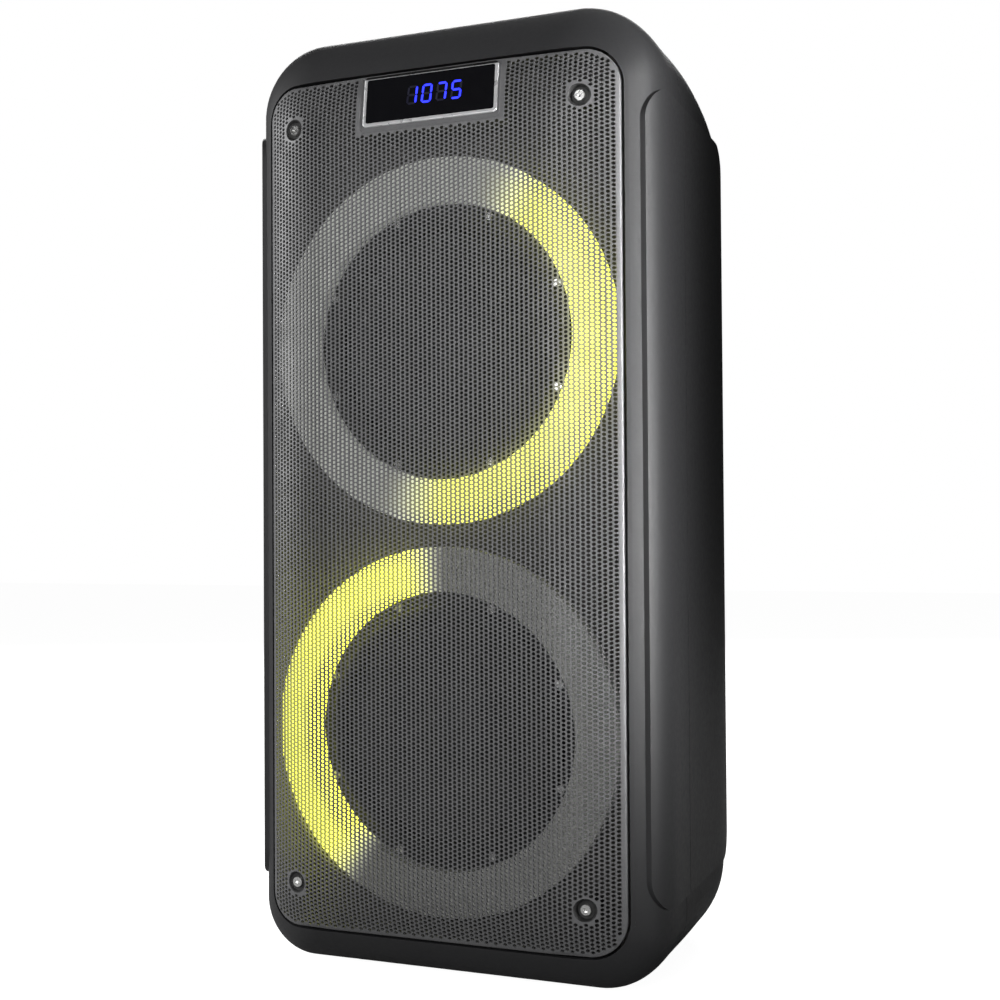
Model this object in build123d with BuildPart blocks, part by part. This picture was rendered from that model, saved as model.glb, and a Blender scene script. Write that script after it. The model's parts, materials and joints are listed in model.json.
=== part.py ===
"""Party speaker: two woofers with light rings behind a pillow-shaped steel grille.

Millimetres, +Z up, the front faces -Y and the origin lies under the middle of the body, on the
plane that the feet stand on. A depth is a distance behind the front plane of the grille, and a
"level" is a height above the floor. Each sub-part is one STEP file in parts/.
"""

from build123d import *
from math import cos, radians, sin, sqrt
import os

os.makedirs("parts", exist_ok=True)

# ---- driving dimensions -------------------------------------------------------------------

FOOT_HEIGHT = 6
BODY_HEIGHT = 690
BODY_DEPTH = 290
SIDE_HALF = 158.5  # half width of the body between the side panels
PANEL_PROUD = 3  # the side panels stand this far out of the body
WALL = 3.5
SEAM_DEPTH = 98  # where the front and rear mouldings meet
SEAM_GROOVE = 0.8
WELL_FLOOR = 151.2  # depth that the long cabinet screws' heads bear on
BAFFLE_BOSS_TIP = 148

FACE_START = 1  # depth of the flat middle of the body's face
SIDE_ROLL = (77.5, 54)  # reach across and depth of the elliptical roll into the sides
TOP_ROLL = (88, 42)
BOTTOM_ROLL = (68, 42)
FACE_CORNER = 5
TOP_CORNER = 52
BOTTOM_CORNER = 41

REAR_SIDE = (205, 60)  # depth where the side starts to round in, and how far it comes in
REAR_TOP = (120, 100)
REAR_BOTTOM = (190, 55)
REAR_CORNER_GROWTH = 30

GRILLE_WIDTH = 275
GRILLE_HEIGHT = 622
GRILLE_CORNER = 24
GRILLE_SHEET = 1.5
GRILLE_GAP = 2
GRILLE_BACK = 24
GRILLE_LEVEL = FOOT_HEIGHT + 340
GRILLE_SCREW_X = 111.5
GRILLE_SCREW_Z = 278
DIMPLE_FLOOR = 9  # depth that the grille screws' heads bear on
BOSS_TIP = DIMPLE_FLOOR + GRILLE_SHEET

RING_OUTER = 132.6
RING_INNER = 100.4
RING_FACE = 19.5
UPPER_LEVEL = GRILLE_LEVEL + 117
LOWER_LEVEL = GRILLE_LEVEL - 164.5
WOOFERS = {"upper": UPPER_LEVEL, "lower": LOWER_LEVEL}

BAFFLE_FRONT = 30
BAFFLE_BACK = 42
WOOFER_CUTOUT = 88.5
WOOFER_SCREW_CIRCLE = 95.2

DISPLAY_WIDTH = 105
DISPLAY_HEIGHT = 38
DISPLAY_TILT = 7.6
DISPLAY_DEPTH = 3.4
DISPLAY_LEVEL = GRILLE_LEVEL + 291
TRIM = 2.5

TOP_LEVEL = FOOT_HEIGHT + BODY_HEIGHT
CONTROL_DEPTH = 71
CONTROL_SIZE = (190, 42)
CONTROL_LEVEL = TOP_LEVEL - 7  # upper face of the control panel
BUTTONS = ("power", "pairing", "light", "bass", "play", "mode")
BUTTON_PLACES = (-74, -51, -28, 28, 51, 74)
BUTTON_SIZE = (18, 12)

HANDLE_DEPTH = 168
HANDLE_POCKET = (150, 84)  # across, and front to back
HANDLE_FLOOR = 638  # level of the pocket's floor
HANDLE_TOP = 689
HANDLE_SIZE = (28, 18)

REAR_PANEL_LEVEL = 165
REAR_PANEL_SIZE = (150, 110)
REAR_PANEL_DEPTH = 276  # outer face of the rear panel
REAR_PANEL_SHEET = 3
BOARD_DEPTH = 236  # front face of the amplifier and power supply boards
BOARD_SHEET = 1.6
PORT_X = 50
PORT_LEVEL = 505
PORT_RADIUS = 28
PORT_TUBE = 30.5
PORT_FLANGE = 38
FOOT_RADIUS = 14
FOOT_X = 92
FRONT_FOOT_DEPTH = 78
REAR_FOOT_DEPTH = 178

FIT = 0.3  # gap round parts that slide or drop in
BUSH = 0.1  # radial gap of a shaft in its bush

FRONT_Y = -(BODY_DEPTH + FACE_START) / 2


# ---- placing helpers ----------------------------------------------------------------------


def depth_plane(depth):
    """Upright plane at a depth: local x is across, local y is the level, and it faces forward."""
    return Plane.XZ.offset(-(FRONT_Y + depth))


def level_plane(level):
    """Level plane: local x is across, local y is front to back."""
    return Plane.XY.offset(level)


def spin_plane(level, across=0):
    """Half-section plane of a round part on a front-to-back axis: x is depth, y is radius."""
    return Plane(origin=(across, FRONT_Y, level), x_dir=(0, 1, 0), z_dir=(1, 0, 0))


def spin_axis(level, across=0):
    return Axis((across, 0, level), (0, 1, 0))


def spun(level, points, across=0):
    """The ring or disc whose half section is a polygon of (depth, radius) points."""
    with BuildPart() as turned:
        with BuildSketch(spin_plane(level, across)):
            with BuildLine():
                Polyline(*points, close=True)
            make_face()
        revolve(axis=spin_axis(level, across))
    return turned.part


def block(across, depths, levels):
    """A plain block between two values in each direction, for tool and component shapes."""
    with BuildPart() as blank:
        with BuildSketch(depth_plane(depths[1])):
            with Locations((sum(across) / 2, sum(levels) / 2)):
                Rectangle(across[1] - across[0], levels[1] - levels[0])
        extrude(amount=depths[1] - depths[0])
    return blank.part


def finish(name, part):
    """Label the part and write it."""
    part.label = name
    export_step(part, f"parts/{name}.step")


# ---- the body's form ----------------------------------------------------------------------


def roll(depth, size, inset):
    """How much of a face roll's reach the surface has gained at a depth."""
    reach, length = size[0] - inset, size[1] - inset
    left = min(max((FACE_START + size[1] - depth) / length, 0), 1)
    return reach * sqrt(1 - left * left)


def rear_drop(depth, rounding, inset):
    """How far the surface has come in at the back."""
    start, drop = rounding
    share = min(max((depth - start) / (BODY_DEPTH - start - inset), 0), 1)
    return (drop - inset) * (1 - sqrt(1 - share * share))


def body_outline(depth, inset=0):
    """The body's outline at a depth, moved inwards by inset."""
    side = SIDE_HALF - SIDE_ROLL[0] + roll(depth, SIDE_ROLL, inset)
    above = TOP_LEVEL - TOP_ROLL[0] + roll(depth, TOP_ROLL, inset)
    below = FOOT_HEIGHT + BOTTOM_ROLL[0] - roll(depth, BOTTOM_ROLL, inset)
    side -= rear_drop(depth, REAR_SIDE, inset)
    above -= rear_drop(depth, REAR_TOP, inset)
    below += rear_drop(depth, REAR_BOTTOM, inset)
    gained = roll(depth, TOP_ROLL, 0) / TOP_ROLL[0]
    growth = REAR_CORNER_GROWTH * rear_drop(depth, REAR_TOP, 0) / REAR_TOP[1]
    upper = FACE_CORNER + (TOP_CORNER - FACE_CORNER) * gained + growth
    lower = FACE_CORNER + (BOTTOM_CORNER - FACE_CORNER) * gained + growth
    with BuildSketch(depth_plane(depth)) as outline:
        with Locations((0, (above + below) / 2)):
            Rectangle(2 * side, above - below)
        fillet(outline.vertices().group_by(Axis.Y)[-1], upper - 0.6 * inset)
        fillet(outline.vertices().group_by(Axis.Y)[0], lower - 0.6 * inset)
    return outline.sketch


def body_depths(inset):
    """Depths of the loft's outlines, closer together where the surface turns faster."""
    length = SIDE_ROLL[1] - inset
    start = FACE_START + inset
    face = [start + length * (1 - cos(radians(turn))) for turn in (0, 9, 18, 28, 40, 54, 70, 90)]
    straight = [80, SEAM_DEPTH, REAR_TOP[0], 145, 170, REAR_SIDE[0]]
    run = BODY_DEPTH - inset - REAR_SIDE[0]
    back = [REAR_SIDE[0] + run * sin(radians(turn)) for turn in (18, 36, 54, 70, 84)]
    return face + straight + back + [BODY_DEPTH - inset]


def body_form(inset=0):
    """The whole body as one solid, moved inwards by inset."""
    with BuildPart() as form:
        loft(sections=[body_outline(depth, inset) for depth in body_depths(inset)])
    return form.part


def grille_outline(margin=0):
    """Sketch content: the grille's outline, grown by margin."""
    with Locations((0, GRILLE_LEVEL)):
        RectangleRounded(
            GRILLE_WIDTH + 2 * margin, GRILLE_HEIGHT + 2 * margin, GRILLE_CORNER + margin
        )


def grille_screw_places():
    """The four grille screws, on a depth plane."""
    levels = (GRILLE_LEVEL - GRILLE_SCREW_Z, GRILLE_LEVEL + GRILLE_SCREW_Z)
    return Locations(*[(x, level) for x in (-GRILLE_SCREW_X, GRILLE_SCREW_X) for level in levels])


def cabinet_screw_places():
    """The six long screws that pull the mouldings together, on a depth plane."""
    return Locations(*[(x, level) for x in (-122, 122) for level in (90, 322, 600)])


def woofer_screw_places(level):
    """The eight screws round a woofer, on a depth plane."""
    turns = [radians(22.5 + 45 * step) for step in range(8)]
    circle = WOOFER_SCREW_CIRCLE
    return Locations(*[(circle * cos(turn), level + circle * sin(turn)) for turn in turns])


def foot_places(depth):
    """The two feet at a depth, on a level plane."""
    return Locations((-FOOT_X, FRONT_Y + depth), (FOOT_X, FRONT_Y + depth))


body = body_form()
cavity = body_form(WALL)
seam_edge = body_outline(SEAM_DEPTH, -1) - body_outline(SEAM_DEPTH, SEAM_GROOVE)

# ---- front moulding -----------------------------------------------------------------------

control_centre = (0, FRONT_Y + CONTROL_DEPTH)
CONTROL_LEDGE = CONTROL_LEVEL - 3
RIM_BACK = BAFFLE_BACK + 4

with BuildPart() as front_bezel:
    add(body)
    split(bisect_by=depth_plane(SEAM_DEPTH), keep=Keep.TOP)
    add(cavity, mode=Mode.SUBTRACT)
    # rim behind the baffle
    extrude(body_outline(RIM_BACK, 1.5), amount=RIM_BACK - BAFFLE_BACK)
    extrude(body_outline(RIM_BACK, 16), amount=RIM_BACK - BAFFLE_BACK, mode=Mode.SUBTRACT)
    # collar that lines the grille's opening
    with BuildSketch(depth_plane(BAFFLE_FRONT)):
        grille_outline(GRILLE_GAP + 2.5)
        with Locations((0, GRILLE_LEVEL)):
            Rectangle(GRILLE_WIDTH, GRILLE_HEIGHT, mode=Mode.SUBTRACT)
    extrude(amount=BAFFLE_FRONT)
    # tray for the control panel
    with BuildSketch(level_plane(CONTROL_LEDGE - 3)):
        with Locations(control_centre):
            Rectangle(CONTROL_SIZE[0] + 5, CONTROL_SIZE[1] + 5)
    extrude(amount=10)
    add(body, mode=Mode.INTERSECT)
    with BuildSketch(depth_plane(BAFFLE_FRONT)):
        grille_outline(GRILLE_GAP)
    extrude(amount=BAFFLE_FRONT, mode=Mode.SUBTRACT)
    with BuildSketch(level_plane(CONTROL_LEDGE)):
        with Locations(control_centre):
            RectangleRounded(*CONTROL_SIZE, 6)
    extrude(amount=20, mode=Mode.SUBTRACT)
    with BuildSketch(level_plane(CONTROL_LEDGE - 10)):
        with Locations(control_centre):
            Rectangle(CONTROL_SIZE[0] - 14, CONTROL_SIZE[1] - 14)
    extrude(amount=20, mode=Mode.SUBTRACT)
    with BuildSketch(level_plane(0)):
        with foot_places(FRONT_FOOT_DEPTH):
            Circle(FOOT_RADIUS + FIT)
    extrude(amount=FOOT_HEIGHT + 2, mode=Mode.SUBTRACT)
    extrude(seam_edge, amount=SEAM_GROOVE, mode=Mode.SUBTRACT)
finish("front_bezel", front_bezel.part)

# ---- rear cabinet -------------------------------------------------------------------------

handle_centre = (0, FRONT_Y + HANDLE_DEPTH)
REAR_LEDGE = REAR_PANEL_DEPTH - REAR_PANEL_SHEET
panel_centre = (0, REAR_PANEL_LEVEL)
BOARD_BACK = BOARD_DEPTH + BOARD_SHEET
AMPLIFIER_PLACES = [(x, level) for x in (-84, 84) for level in (121, 209)]
SUPPLY_PLACES = [(x, level) for x in (-54, 54) for level in (268, 386)]

with BuildPart() as rear_cabinet:
    add(body)
    split(bisect_by=depth_plane(SEAM_DEPTH), keep=Keep.BOTTOM)
    add(cavity, mode=Mode.SUBTRACT)
    # walls of the handle pocket and of the rear panel's recess
    with BuildSketch(level_plane(HANDLE_FLOOR - 3)):
        with Locations(handle_centre):
            RectangleRounded(HANDLE_POCKET[0] + 6, HANDLE_POCKET[1] + 6, 12)
    extrude(amount=80)
    with BuildSketch(depth_plane(BODY_DEPTH)):
        with Locations(panel_centre):
            Rectangle(REAR_PANEL_SIZE[0] + 7, REAR_PANEL_SIZE[1] + 7)
    extrude(amount=BODY_DEPTH - REAR_LEDGE + 3)
    # posts for the boards, and wells for the long screws
    with BuildSketch(depth_plane(BODY_DEPTH - 1)):
        with Locations(*AMPLIFIER_PLACES, *SUPPLY_PLACES):
            Circle(4)
    extrude(amount=BODY_DEPTH - 1 - BOARD_BACK)
    with BuildSketch(depth_plane(BODY_DEPTH)):
        with cabinet_screw_places():
            Circle(7.5)
    extrude(amount=BODY_DEPTH - BAFFLE_BOSS_TIP - 0.2)
    add(body, mode=Mode.INTERSECT)
    with BuildSketch(level_plane(HANDLE_FLOOR)):
        with Locations(handle_centre):
            RectangleRounded(*HANDLE_POCKET, 9)
    extrude(amount=80, mode=Mode.SUBTRACT)
    with BuildSketch(depth_plane(BODY_DEPTH)):
        with Locations(panel_centre):
            RectangleRounded(REAR_PANEL_SIZE[0] + 2 * FIT, REAR_PANEL_SIZE[1] + 2 * FIT, 5)
    extrude(amount=BODY_DEPTH - REAR_LEDGE, mode=Mode.SUBTRACT)
    with BuildSketch(depth_plane(BODY_DEPTH)):
        with Locations(panel_centre):
            Rectangle(REAR_PANEL_SIZE[0] - 14, REAR_PANEL_SIZE[1] - 14)
    extrude(amount=30, mode=Mode.SUBTRACT)
    with BuildSketch(depth_plane(BODY_DEPTH)):
        with cabinet_screw_places():
            Circle(5.5)
    extrude(amount=BODY_DEPTH - WELL_FLOOR, mode=Mode.SUBTRACT)
    with BuildSketch(depth_plane(BODY_DEPTH)):
        with cabinet_screw_places():
            Circle(2.3)
    extrude(amount=BODY_DEPTH - BAFFLE_BOSS_TIP, mode=Mode.SUBTRACT)
    with BuildSketch(depth_plane(BOARD_BACK + 12)):
        with Locations(*AMPLIFIER_PLACES, *SUPPLY_PLACES):
            Circle(1.5)
    extrude(amount=12, mode=Mode.SUBTRACT)
    # reflex ports and rear feet
    with BuildSketch(depth_plane(BODY_DEPTH)):
        with Locations((-PORT_X, PORT_LEVEL), (PORT_X, PORT_LEVEL)):
            Circle(PORT_FLANGE + FIT)
    extrude(amount=2, mode=Mode.SUBTRACT)
    with BuildSketch(depth_plane(BODY_DEPTH)):
        with Locations((-PORT_X, PORT_LEVEL), (PORT_X, PORT_LEVEL)):
            Circle(PORT_TUBE + FIT)
    extrude(amount=10, mode=Mode.SUBTRACT)
    with BuildSketch(level_plane(0)):
        with foot_places(REAR_FOOT_DEPTH):
            Circle(FOOT_RADIUS + FIT)
    extrude(amount=FOOT_HEIGHT + 2, mode=Mode.SUBTRACT)
    # holes for the rear panel's four screws
    panel_screw_x = REAR_PANEL_SIZE[0] / 2 - 4
    panel_screw_z = REAR_PANEL_SIZE[1] / 2 - 4
    PANEL_PLACES = [
        (x, REAR_PANEL_LEVEL + z)
        for x in (-panel_screw_x, panel_screw_x)
        for z in (-panel_screw_z, panel_screw_z)
    ]
    with BuildSketch(depth_plane(REAR_LEDGE)):
        with Locations(*PANEL_PLACES):
            Circle(1.5)
    extrude(amount=8, mode=Mode.SUBTRACT)
finish("rear_cabinet", rear_cabinet.part)

# ---- side panels --------------------------------------------------------------------------

PANEL_DEPTHS = (28, 226)
PANEL_LEVELS = (GRILLE_LEVEL - 284, GRILLE_LEVEL + 288)

with BuildPart() as side_panel_right:
    add(body_form(-PANEL_PROUD))
    with BuildSketch(Plane.YZ.offset(SIDE_HALF / 2)):
        with Locations((FRONT_Y + sum(PANEL_DEPTHS) / 2, sum(PANEL_LEVELS) / 2)):
            RectangleRounded(PANEL_DEPTHS[1] - PANEL_DEPTHS[0], PANEL_LEVELS[1] - PANEL_LEVELS[0], 24)
    extrude(amount=SIDE_HALF, mode=Mode.INTERSECT)
    add(body_form(-BUSH), mode=Mode.SUBTRACT)
    # crease that carries the seam's line across the panel
    with BuildSketch(depth_plane(SEAM_DEPTH + SEAM_GROOVE / 2)):
        with Locations((SIDE_HALF + PANEL_PROUD, GRILLE_LEVEL)):
            Rectangle(2 * SEAM_GROOVE, BODY_HEIGHT)
    extrude(amount=SEAM_GROOVE, mode=Mode.SUBTRACT)
finish("side_panel_right", side_panel_right.part)

with BuildPart() as side_panel_left:
    add(side_panel_right.part.mirror(Plane.YZ))
finish("side_panel_left", side_panel_left.part)

# ---- grille and display -------------------------------------------------------------------

with BuildPart() as grille_core:
    add(body_form(GRILLE_SHEET))
    with BuildSketch(depth_plane(GRILLE_BACK)):
        grille_outline(-GRILLE_SHEET)
    extrude(amount=GRILLE_BACK, mode=Mode.INTERSECT)

with BuildPart() as grille:
    add(body)
    with BuildSketch(depth_plane(GRILLE_BACK)):
        grille_outline()
    extrude(amount=GRILLE_BACK, mode=Mode.INTERSECT)
    add(grille_core.part, mode=Mode.SUBTRACT)
    # dimples for the screws
    with BuildSketch(depth_plane(BOSS_TIP)):
        with grille_screw_places():
            Circle(8)
    extrude(amount=BOSS_TIP - 2)
    add(body, mode=Mode.INTERSECT)
    with BuildSketch(depth_plane(DIMPLE_FLOOR)):
        with grille_screw_places():
            Circle(6.5)
    extrude(amount=DIMPLE_FLOOR, mode=Mode.SUBTRACT)
    with BuildSketch(depth_plane(BOSS_TIP)):
        with grille_screw_places():
            Circle(2.3)
    extrude(amount=BOSS_TIP, mode=Mode.SUBTRACT)
    # notch for the display
    with BuildSketch(depth_plane(GRILLE_BACK)):
        with Locations((0, DISPLAY_LEVEL + 10)):
            RectangleRounded(DISPLAY_WIDTH + 3, DISPLAY_HEIGHT + 23, 4)
    extrude(amount=GRILLE_BACK, mode=Mode.SUBTRACT)
finish("grille", grille.part)

with BuildPart() as grille_screws:
    with BuildSketch(depth_plane(DIMPLE_FLOOR)):
        with grille_screw_places():
            Circle(3.6)
    extrude(amount=2.6)
    with BuildSketch(depth_plane(26)):
        with grille_screw_places():
            Circle(1.9)
    extrude(amount=26 - DIMPLE_FLOOR)
    with BuildSketch(depth_plane(DIMPLE_FLOOR - 1)):
        with grille_screw_places():
            RegularPolygon(1.7, 6)
    extrude(amount=2, mode=Mode.SUBTRACT)
finish("grille_screws", grille_screws.part)

tilt = radians(DISPLAY_TILT)
display_plane = Plane(
    origin=(0, FRONT_Y + DISPLAY_DEPTH, DISPLAY_LEVEL),
    x_dir=(1, 0, 0),
    z_dir=(0, -cos(tilt), sin(tilt)),
)
TRAY_DEPTH = 14
WINDOW_SHEET = 2

with BuildPart() as display_housing:
    with BuildSketch(display_plane):
        RectangleRounded(DISPLAY_WIDTH, DISPLAY_HEIGHT, 3)
    extrude(amount=-TRAY_DEPTH)
    fillet(display_housing.faces().sort_by(Axis.Y)[0].edges(), 0.8)
    with BuildSketch(display_plane):
        RectangleRounded(DISPLAY_WIDTH - 2 * TRIM, DISPLAY_HEIGHT - 2 * TRIM, 1.5)
    extrude(amount=-WINDOW_SHEET, mode=Mode.SUBTRACT)
    with BuildSketch(display_plane):
        Rectangle(DISPLAY_WIDTH - 9, DISPLAY_HEIGHT - 9)
    extrude(amount=-(TRAY_DEPTH - 2), mode=Mode.SUBTRACT)
    with BuildSketch(depth_plane(BAFFLE_FRONT)):
        with Locations((-40, DISPLAY_LEVEL), (40, DISPLAY_LEVEL)):
            Circle(5)
    extrude(amount=BAFFLE_FRONT - 16.4)
finish("display_housing", display_housing.part)

with BuildPart() as display_window:
    with BuildSketch(display_plane.offset(-WINDOW_SHEET)):
        RectangleRounded(DISPLAY_WIDTH - 2 * TRIM - 0.4, DISPLAY_HEIGHT - 2 * TRIM - 0.4, 1.3)
    extrude(amount=WINDOW_SHEET)
finish("display_window", display_window.part)

with BuildPart() as display_board:
    with BuildSketch(display_plane.offset(-(TRAY_DEPTH - 2))):
        Rectangle(DISPLAY_WIDTH - 11, DISPLAY_HEIGHT - 11)
    extrude(amount=BOARD_SHEET)
    with BuildSketch(display_plane.offset(-(TRAY_DEPTH - 2 - BOARD_SHEET))):
        Rectangle(70, 20)
    extrude(amount=6)
finish("display_board", display_board.part)

# ---- baffle -------------------------------------------------------------------------------

with BuildPart() as baffle:
    extrude(body_outline(BAFFLE_FRONT, WALL + 1), amount=BAFFLE_FRONT - BAFFLE_BACK)
    with BuildSketch(depth_plane(BAFFLE_FRONT)):
        with grille_screw_places():
            Circle(6)
    extrude(amount=BAFFLE_FRONT - BOSS_TIP)
    with BuildSketch(depth_plane(BAFFLE_BOSS_TIP)):
        with cabinet_screw_places():
            Circle(6.5)
    extrude(amount=BAFFLE_BOSS_TIP - BAFFLE_BACK)
    with BuildSketch(depth_plane(BAFFLE_BOSS_TIP)):
        with cabinet_screw_places():
            Circle(2)
    extrude(amount=24, mode=Mode.SUBTRACT)
    with BuildSketch(depth_plane(BAFFLE_FRONT)):
        with grille_screw_places():
            Circle(2)
    extrude(amount=BAFFLE_FRONT, mode=Mode.SUBTRACT)
    for level in WOOFERS.values():
        with BuildSketch(depth_plane(BAFFLE_BACK)):
            with Locations((0, level)):
                Circle(WOOFER_CUTOUT)
            with woofer_screw_places(level):
                Circle(1.7)
        extrude(amount=BAFFLE_BACK - BAFFLE_FRONT, mode=Mode.SUBTRACT)
finish("baffle", baffle.part)
# ---- light rings --------------------------------------------------------------------------

DIFFUSER_WALL = 2.2
LAMPS = 24

for side, level in WOOFERS.items():
    light_ring = spun(
        level,
        [
            (RING_FACE, RING_INNER),
            (RING_FACE, RING_OUTER),
            (BAFFLE_FRONT, RING_OUTER),
            (BAFFLE_FRONT, RING_OUTER - DIFFUSER_WALL),
            (RING_FACE + DIFFUSER_WALL, RING_OUTER - DIFFUSER_WALL),
            (RING_FACE + DIFFUSER_WALL, RING_INNER + DIFFUSER_WALL),
            (BAFFLE_FRONT, RING_INNER + DIFFUSER_WALL),
            (BAFFLE_FRONT, RING_INNER),
        ],
    )
    finish(f"{side}_light_ring", light_ring)

    with BuildPart() as ring_board:
        with BuildSketch(depth_plane(BAFFLE_FRONT)):
            with Locations((0, level)):
                Circle(RING_OUTER - DIFFUSER_WALL - FIT)
                Circle(RING_INNER + DIFFUSER_WALL + FIT, mode=Mode.SUBTRACT)
        extrude(amount=BOARD_SHEET)
        with BuildSketch(depth_plane(BAFFLE_FRONT - BOARD_SHEET)):
            with Locations((0, level)):
                with PolarLocations((RING_OUTER + RING_INNER) / 2, LAMPS):
                    Rectangle(5, 5)
        extrude(amount=1.4)
    finish(f"{side}_ring_board", ring_board.part)

# ---- woofers ------------------------------------------------------------------------------

POLE_RADIUS = 25
COIL_RADIUS = 25.7
CONE_RADIUS = 81
ROLL_MIDDLE = 85.5
ROLL_RADIUS = 6.5
FLANGE_FRONT = 27.5
FLANGE_RADIUS = 99
PLATE_FRONT = 78
MAGNET_FRONT = 84
MAGNET_BACK = 102
YOKE_BACK = 108
SPIDER_DEPTH = 60
CAP_SPHERE = 68  # radius of the dust cap's sphere, about a centre behind the cone
CAP_CENTRE = 109.9
CAP_SPAN = 29  # degrees from the axis to the cap's rim


def cap_rim(radius):
    """The rim of one of the dust cap's two spheres, as (depth, radius)."""
    span = radians(CAP_SPAN)
    return (CAP_CENTRE - radius * cos(span), radius * sin(span))


for side, level in WOOFERS.items():
    with BuildPart() as basket:
        with BuildSketch(spin_plane(level)):
            with BuildLine():
                Polyline(
                    (FLANGE_FRONT, 85.7),
                    (FLANGE_FRONT, FLANGE_RADIUS),
                    (BAFFLE_FRONT, FLANGE_RADIUS),
                    (BAFFLE_FRONT, 88),
                    (74, 54.5),
                    (PLATE_FRONT, 54.5),
                    (PLATE_FRONT, 28),
                    (76, 28),
                    (76, 52.5),
                    (73, 52.5),
                    (62, 61),
                    (62, 52),
                    (SPIDER_DEPTH, 52),
                    (SPIDER_DEPTH, 62.5),
                    (29.2, 85.7),
                    close=True,
                )
            make_face()
        revolve(axis=spin_axis(level))
        # windows between the six legs
        with BuildSketch(depth_plane(57)):
            with Locations((0, level)):
                with PolarLocations(76, 6, 30):
                    Rectangle(44, 42)
        extrude(amount=21, mode=Mode.SUBTRACT)
        with BuildSketch(depth_plane(BAFFLE_FRONT)):
            with woofer_screw_places(level):
                Circle(1.7)
        extrude(amount=5, mode=Mode.SUBTRACT)
    finish(f"{side}_woofer_basket", basket.part)

    top_plate = spun(
        level, [(PLATE_FRONT, 27.5), (PLATE_FRONT, 50), (MAGNET_FRONT, 50), (MAGNET_FRONT, 27.5)]
    )
    finish(f"{side}_woofer_top_plate", top_plate)

    magnet = spun(
        level, [(MAGNET_FRONT, 32), (MAGNET_FRONT, 60), (MAGNET_BACK, 60), (MAGNET_BACK, 32)]
    )
    finish(f"{side}_woofer_magnet", magnet)

    yoke = spun(
        level,
        [
            (79, 8),
            (79, POLE_RADIUS),
            (MAGNET_BACK, POLE_RADIUS),
            (MAGNET_BACK, 52),
            (YOKE_BACK, 52),
            (YOKE_BACK, 8),
        ],
    )
    finish(f"{side}_woofer_yoke", yoke)

    voice_coil = spun(
        level,
        [
            (56.4, COIL_RADIUS),
            (56.4, COIL_RADIUS + 0.4),
            (76, COIL_RADIUS + 0.4),
            (76, COIL_RADIUS + 1.1),
            (88, COIL_RADIUS + 1.1),
            (88, COIL_RADIUS + 0.4),
            (90, COIL_RADIUS + 0.4),
            (90, COIL_RADIUS),
        ],
    )
    finish(f"{side}_voice_coil", voice_coil)

    spider_waves = [(28 + 3 * step, SPIDER_DEPTH - 0.8 + (-1) ** step) for step in range(8)]
    spider = spun(
        level,
        [(SPIDER_DEPTH - 0.8, 26.3)]
        + [(depth, radius) for radius, depth in spider_waves]
        + [(SPIDER_DEPTH - 0.8, 51), (SPIDER_DEPTH - 0.8, 60), (SPIDER_DEPTH, 60)]
        + [(SPIDER_DEPTH, 51.3)]
        + [(depth + 0.8, radius) for radius, depth in reversed(spider_waves)]
        + [(SPIDER_DEPTH, 26.3)],
    )
    finish(f"{side}_spider", spider)

    cone = spun(
        level,
        [
            (27.6, 77),
            (27.6, CONE_RADIUS),
            (28.4, CONE_RADIUS),
            (28.6, 78),
            (56.4, COIL_RADIUS + 0.6),
            (56.4, COIL_RADIUS - 0.7),
            (55.3, COIL_RADIUS - 0.7),
        ],
    )
    finish(f"{side}_cone", cone)

    with BuildPart() as dust_cap:
        with BuildSketch(spin_plane(level)):
            with BuildLine():
                CenterArc((CAP_CENTRE, 0), CAP_SPHERE, 180 - CAP_SPAN, CAP_SPAN)
                CenterArc((CAP_CENTRE, 0), CAP_SPHERE - 0.8, 180 - CAP_SPAN, CAP_SPAN)
                Line((CAP_CENTRE - CAP_SPHERE, 0), (CAP_CENTRE - CAP_SPHERE + 0.8, 0))
                Line(cap_rim(CAP_SPHERE), cap_rim(CAP_SPHERE - 0.8))
            make_face()
        revolve(axis=spin_axis(level))
    finish(f"{side}_dust_cap", dust_cap.part)

    with BuildPart() as surround:
        roll_front = FLANGE_FRONT - 1
        with BuildSketch(spin_plane(level)):
            with BuildLine():
                Line((FLANGE_FRONT, 77), (roll_front, 77))
                Line((roll_front, 77), (roll_front, ROLL_MIDDLE - ROLL_RADIUS))
                ThreePointArc(
                    (roll_front, ROLL_MIDDLE - ROLL_RADIUS),
                    (roll_front - ROLL_RADIUS, ROLL_MIDDLE),
                    (roll_front, ROLL_MIDDLE + ROLL_RADIUS),
                )
                Line((roll_front, ROLL_MIDDLE + ROLL_RADIUS), (roll_front, FLANGE_RADIUS - 0.4))
                Line((roll_front, FLANGE_RADIUS - 0.4), (FLANGE_FRONT, FLANGE_RADIUS - 0.4))
                Line((FLANGE_FRONT, FLANGE_RADIUS - 0.4), (FLANGE_FRONT, ROLL_MIDDLE + 5.5))
                ThreePointArc(
                    (FLANGE_FRONT, ROLL_MIDDLE + 5.5),
                    (FLANGE_FRONT - ROLL_RADIUS, ROLL_MIDDLE),
                    (FLANGE_FRONT, ROLL_MIDDLE - 5.5),
                )
                Line((FLANGE_FRONT, ROLL_MIDDLE - 5.5), (FLANGE_FRONT, 77))
            make_face()
        revolve(axis=spin_axis(level))
        with BuildSketch(depth_plane(FLANGE_FRONT)):
            with woofer_screw_places(level):
                Circle(1.7)
        extrude(amount=5, mode=Mode.SUBTRACT)
    finish(f"{side}_surround", surround.part)

with BuildPart() as woofer_terminals:
    for level in WOOFERS.values():
        add(block((54.6, 64), (74.5, 77.5), (level - 9, level + 9)))
        for offset in (-5, 5):
            add(block((64, 70), (75.6, 76.4), (level + offset - 1.5, level + offset + 1.5)))
finish("woofer_terminals", woofer_terminals.part)

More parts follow.
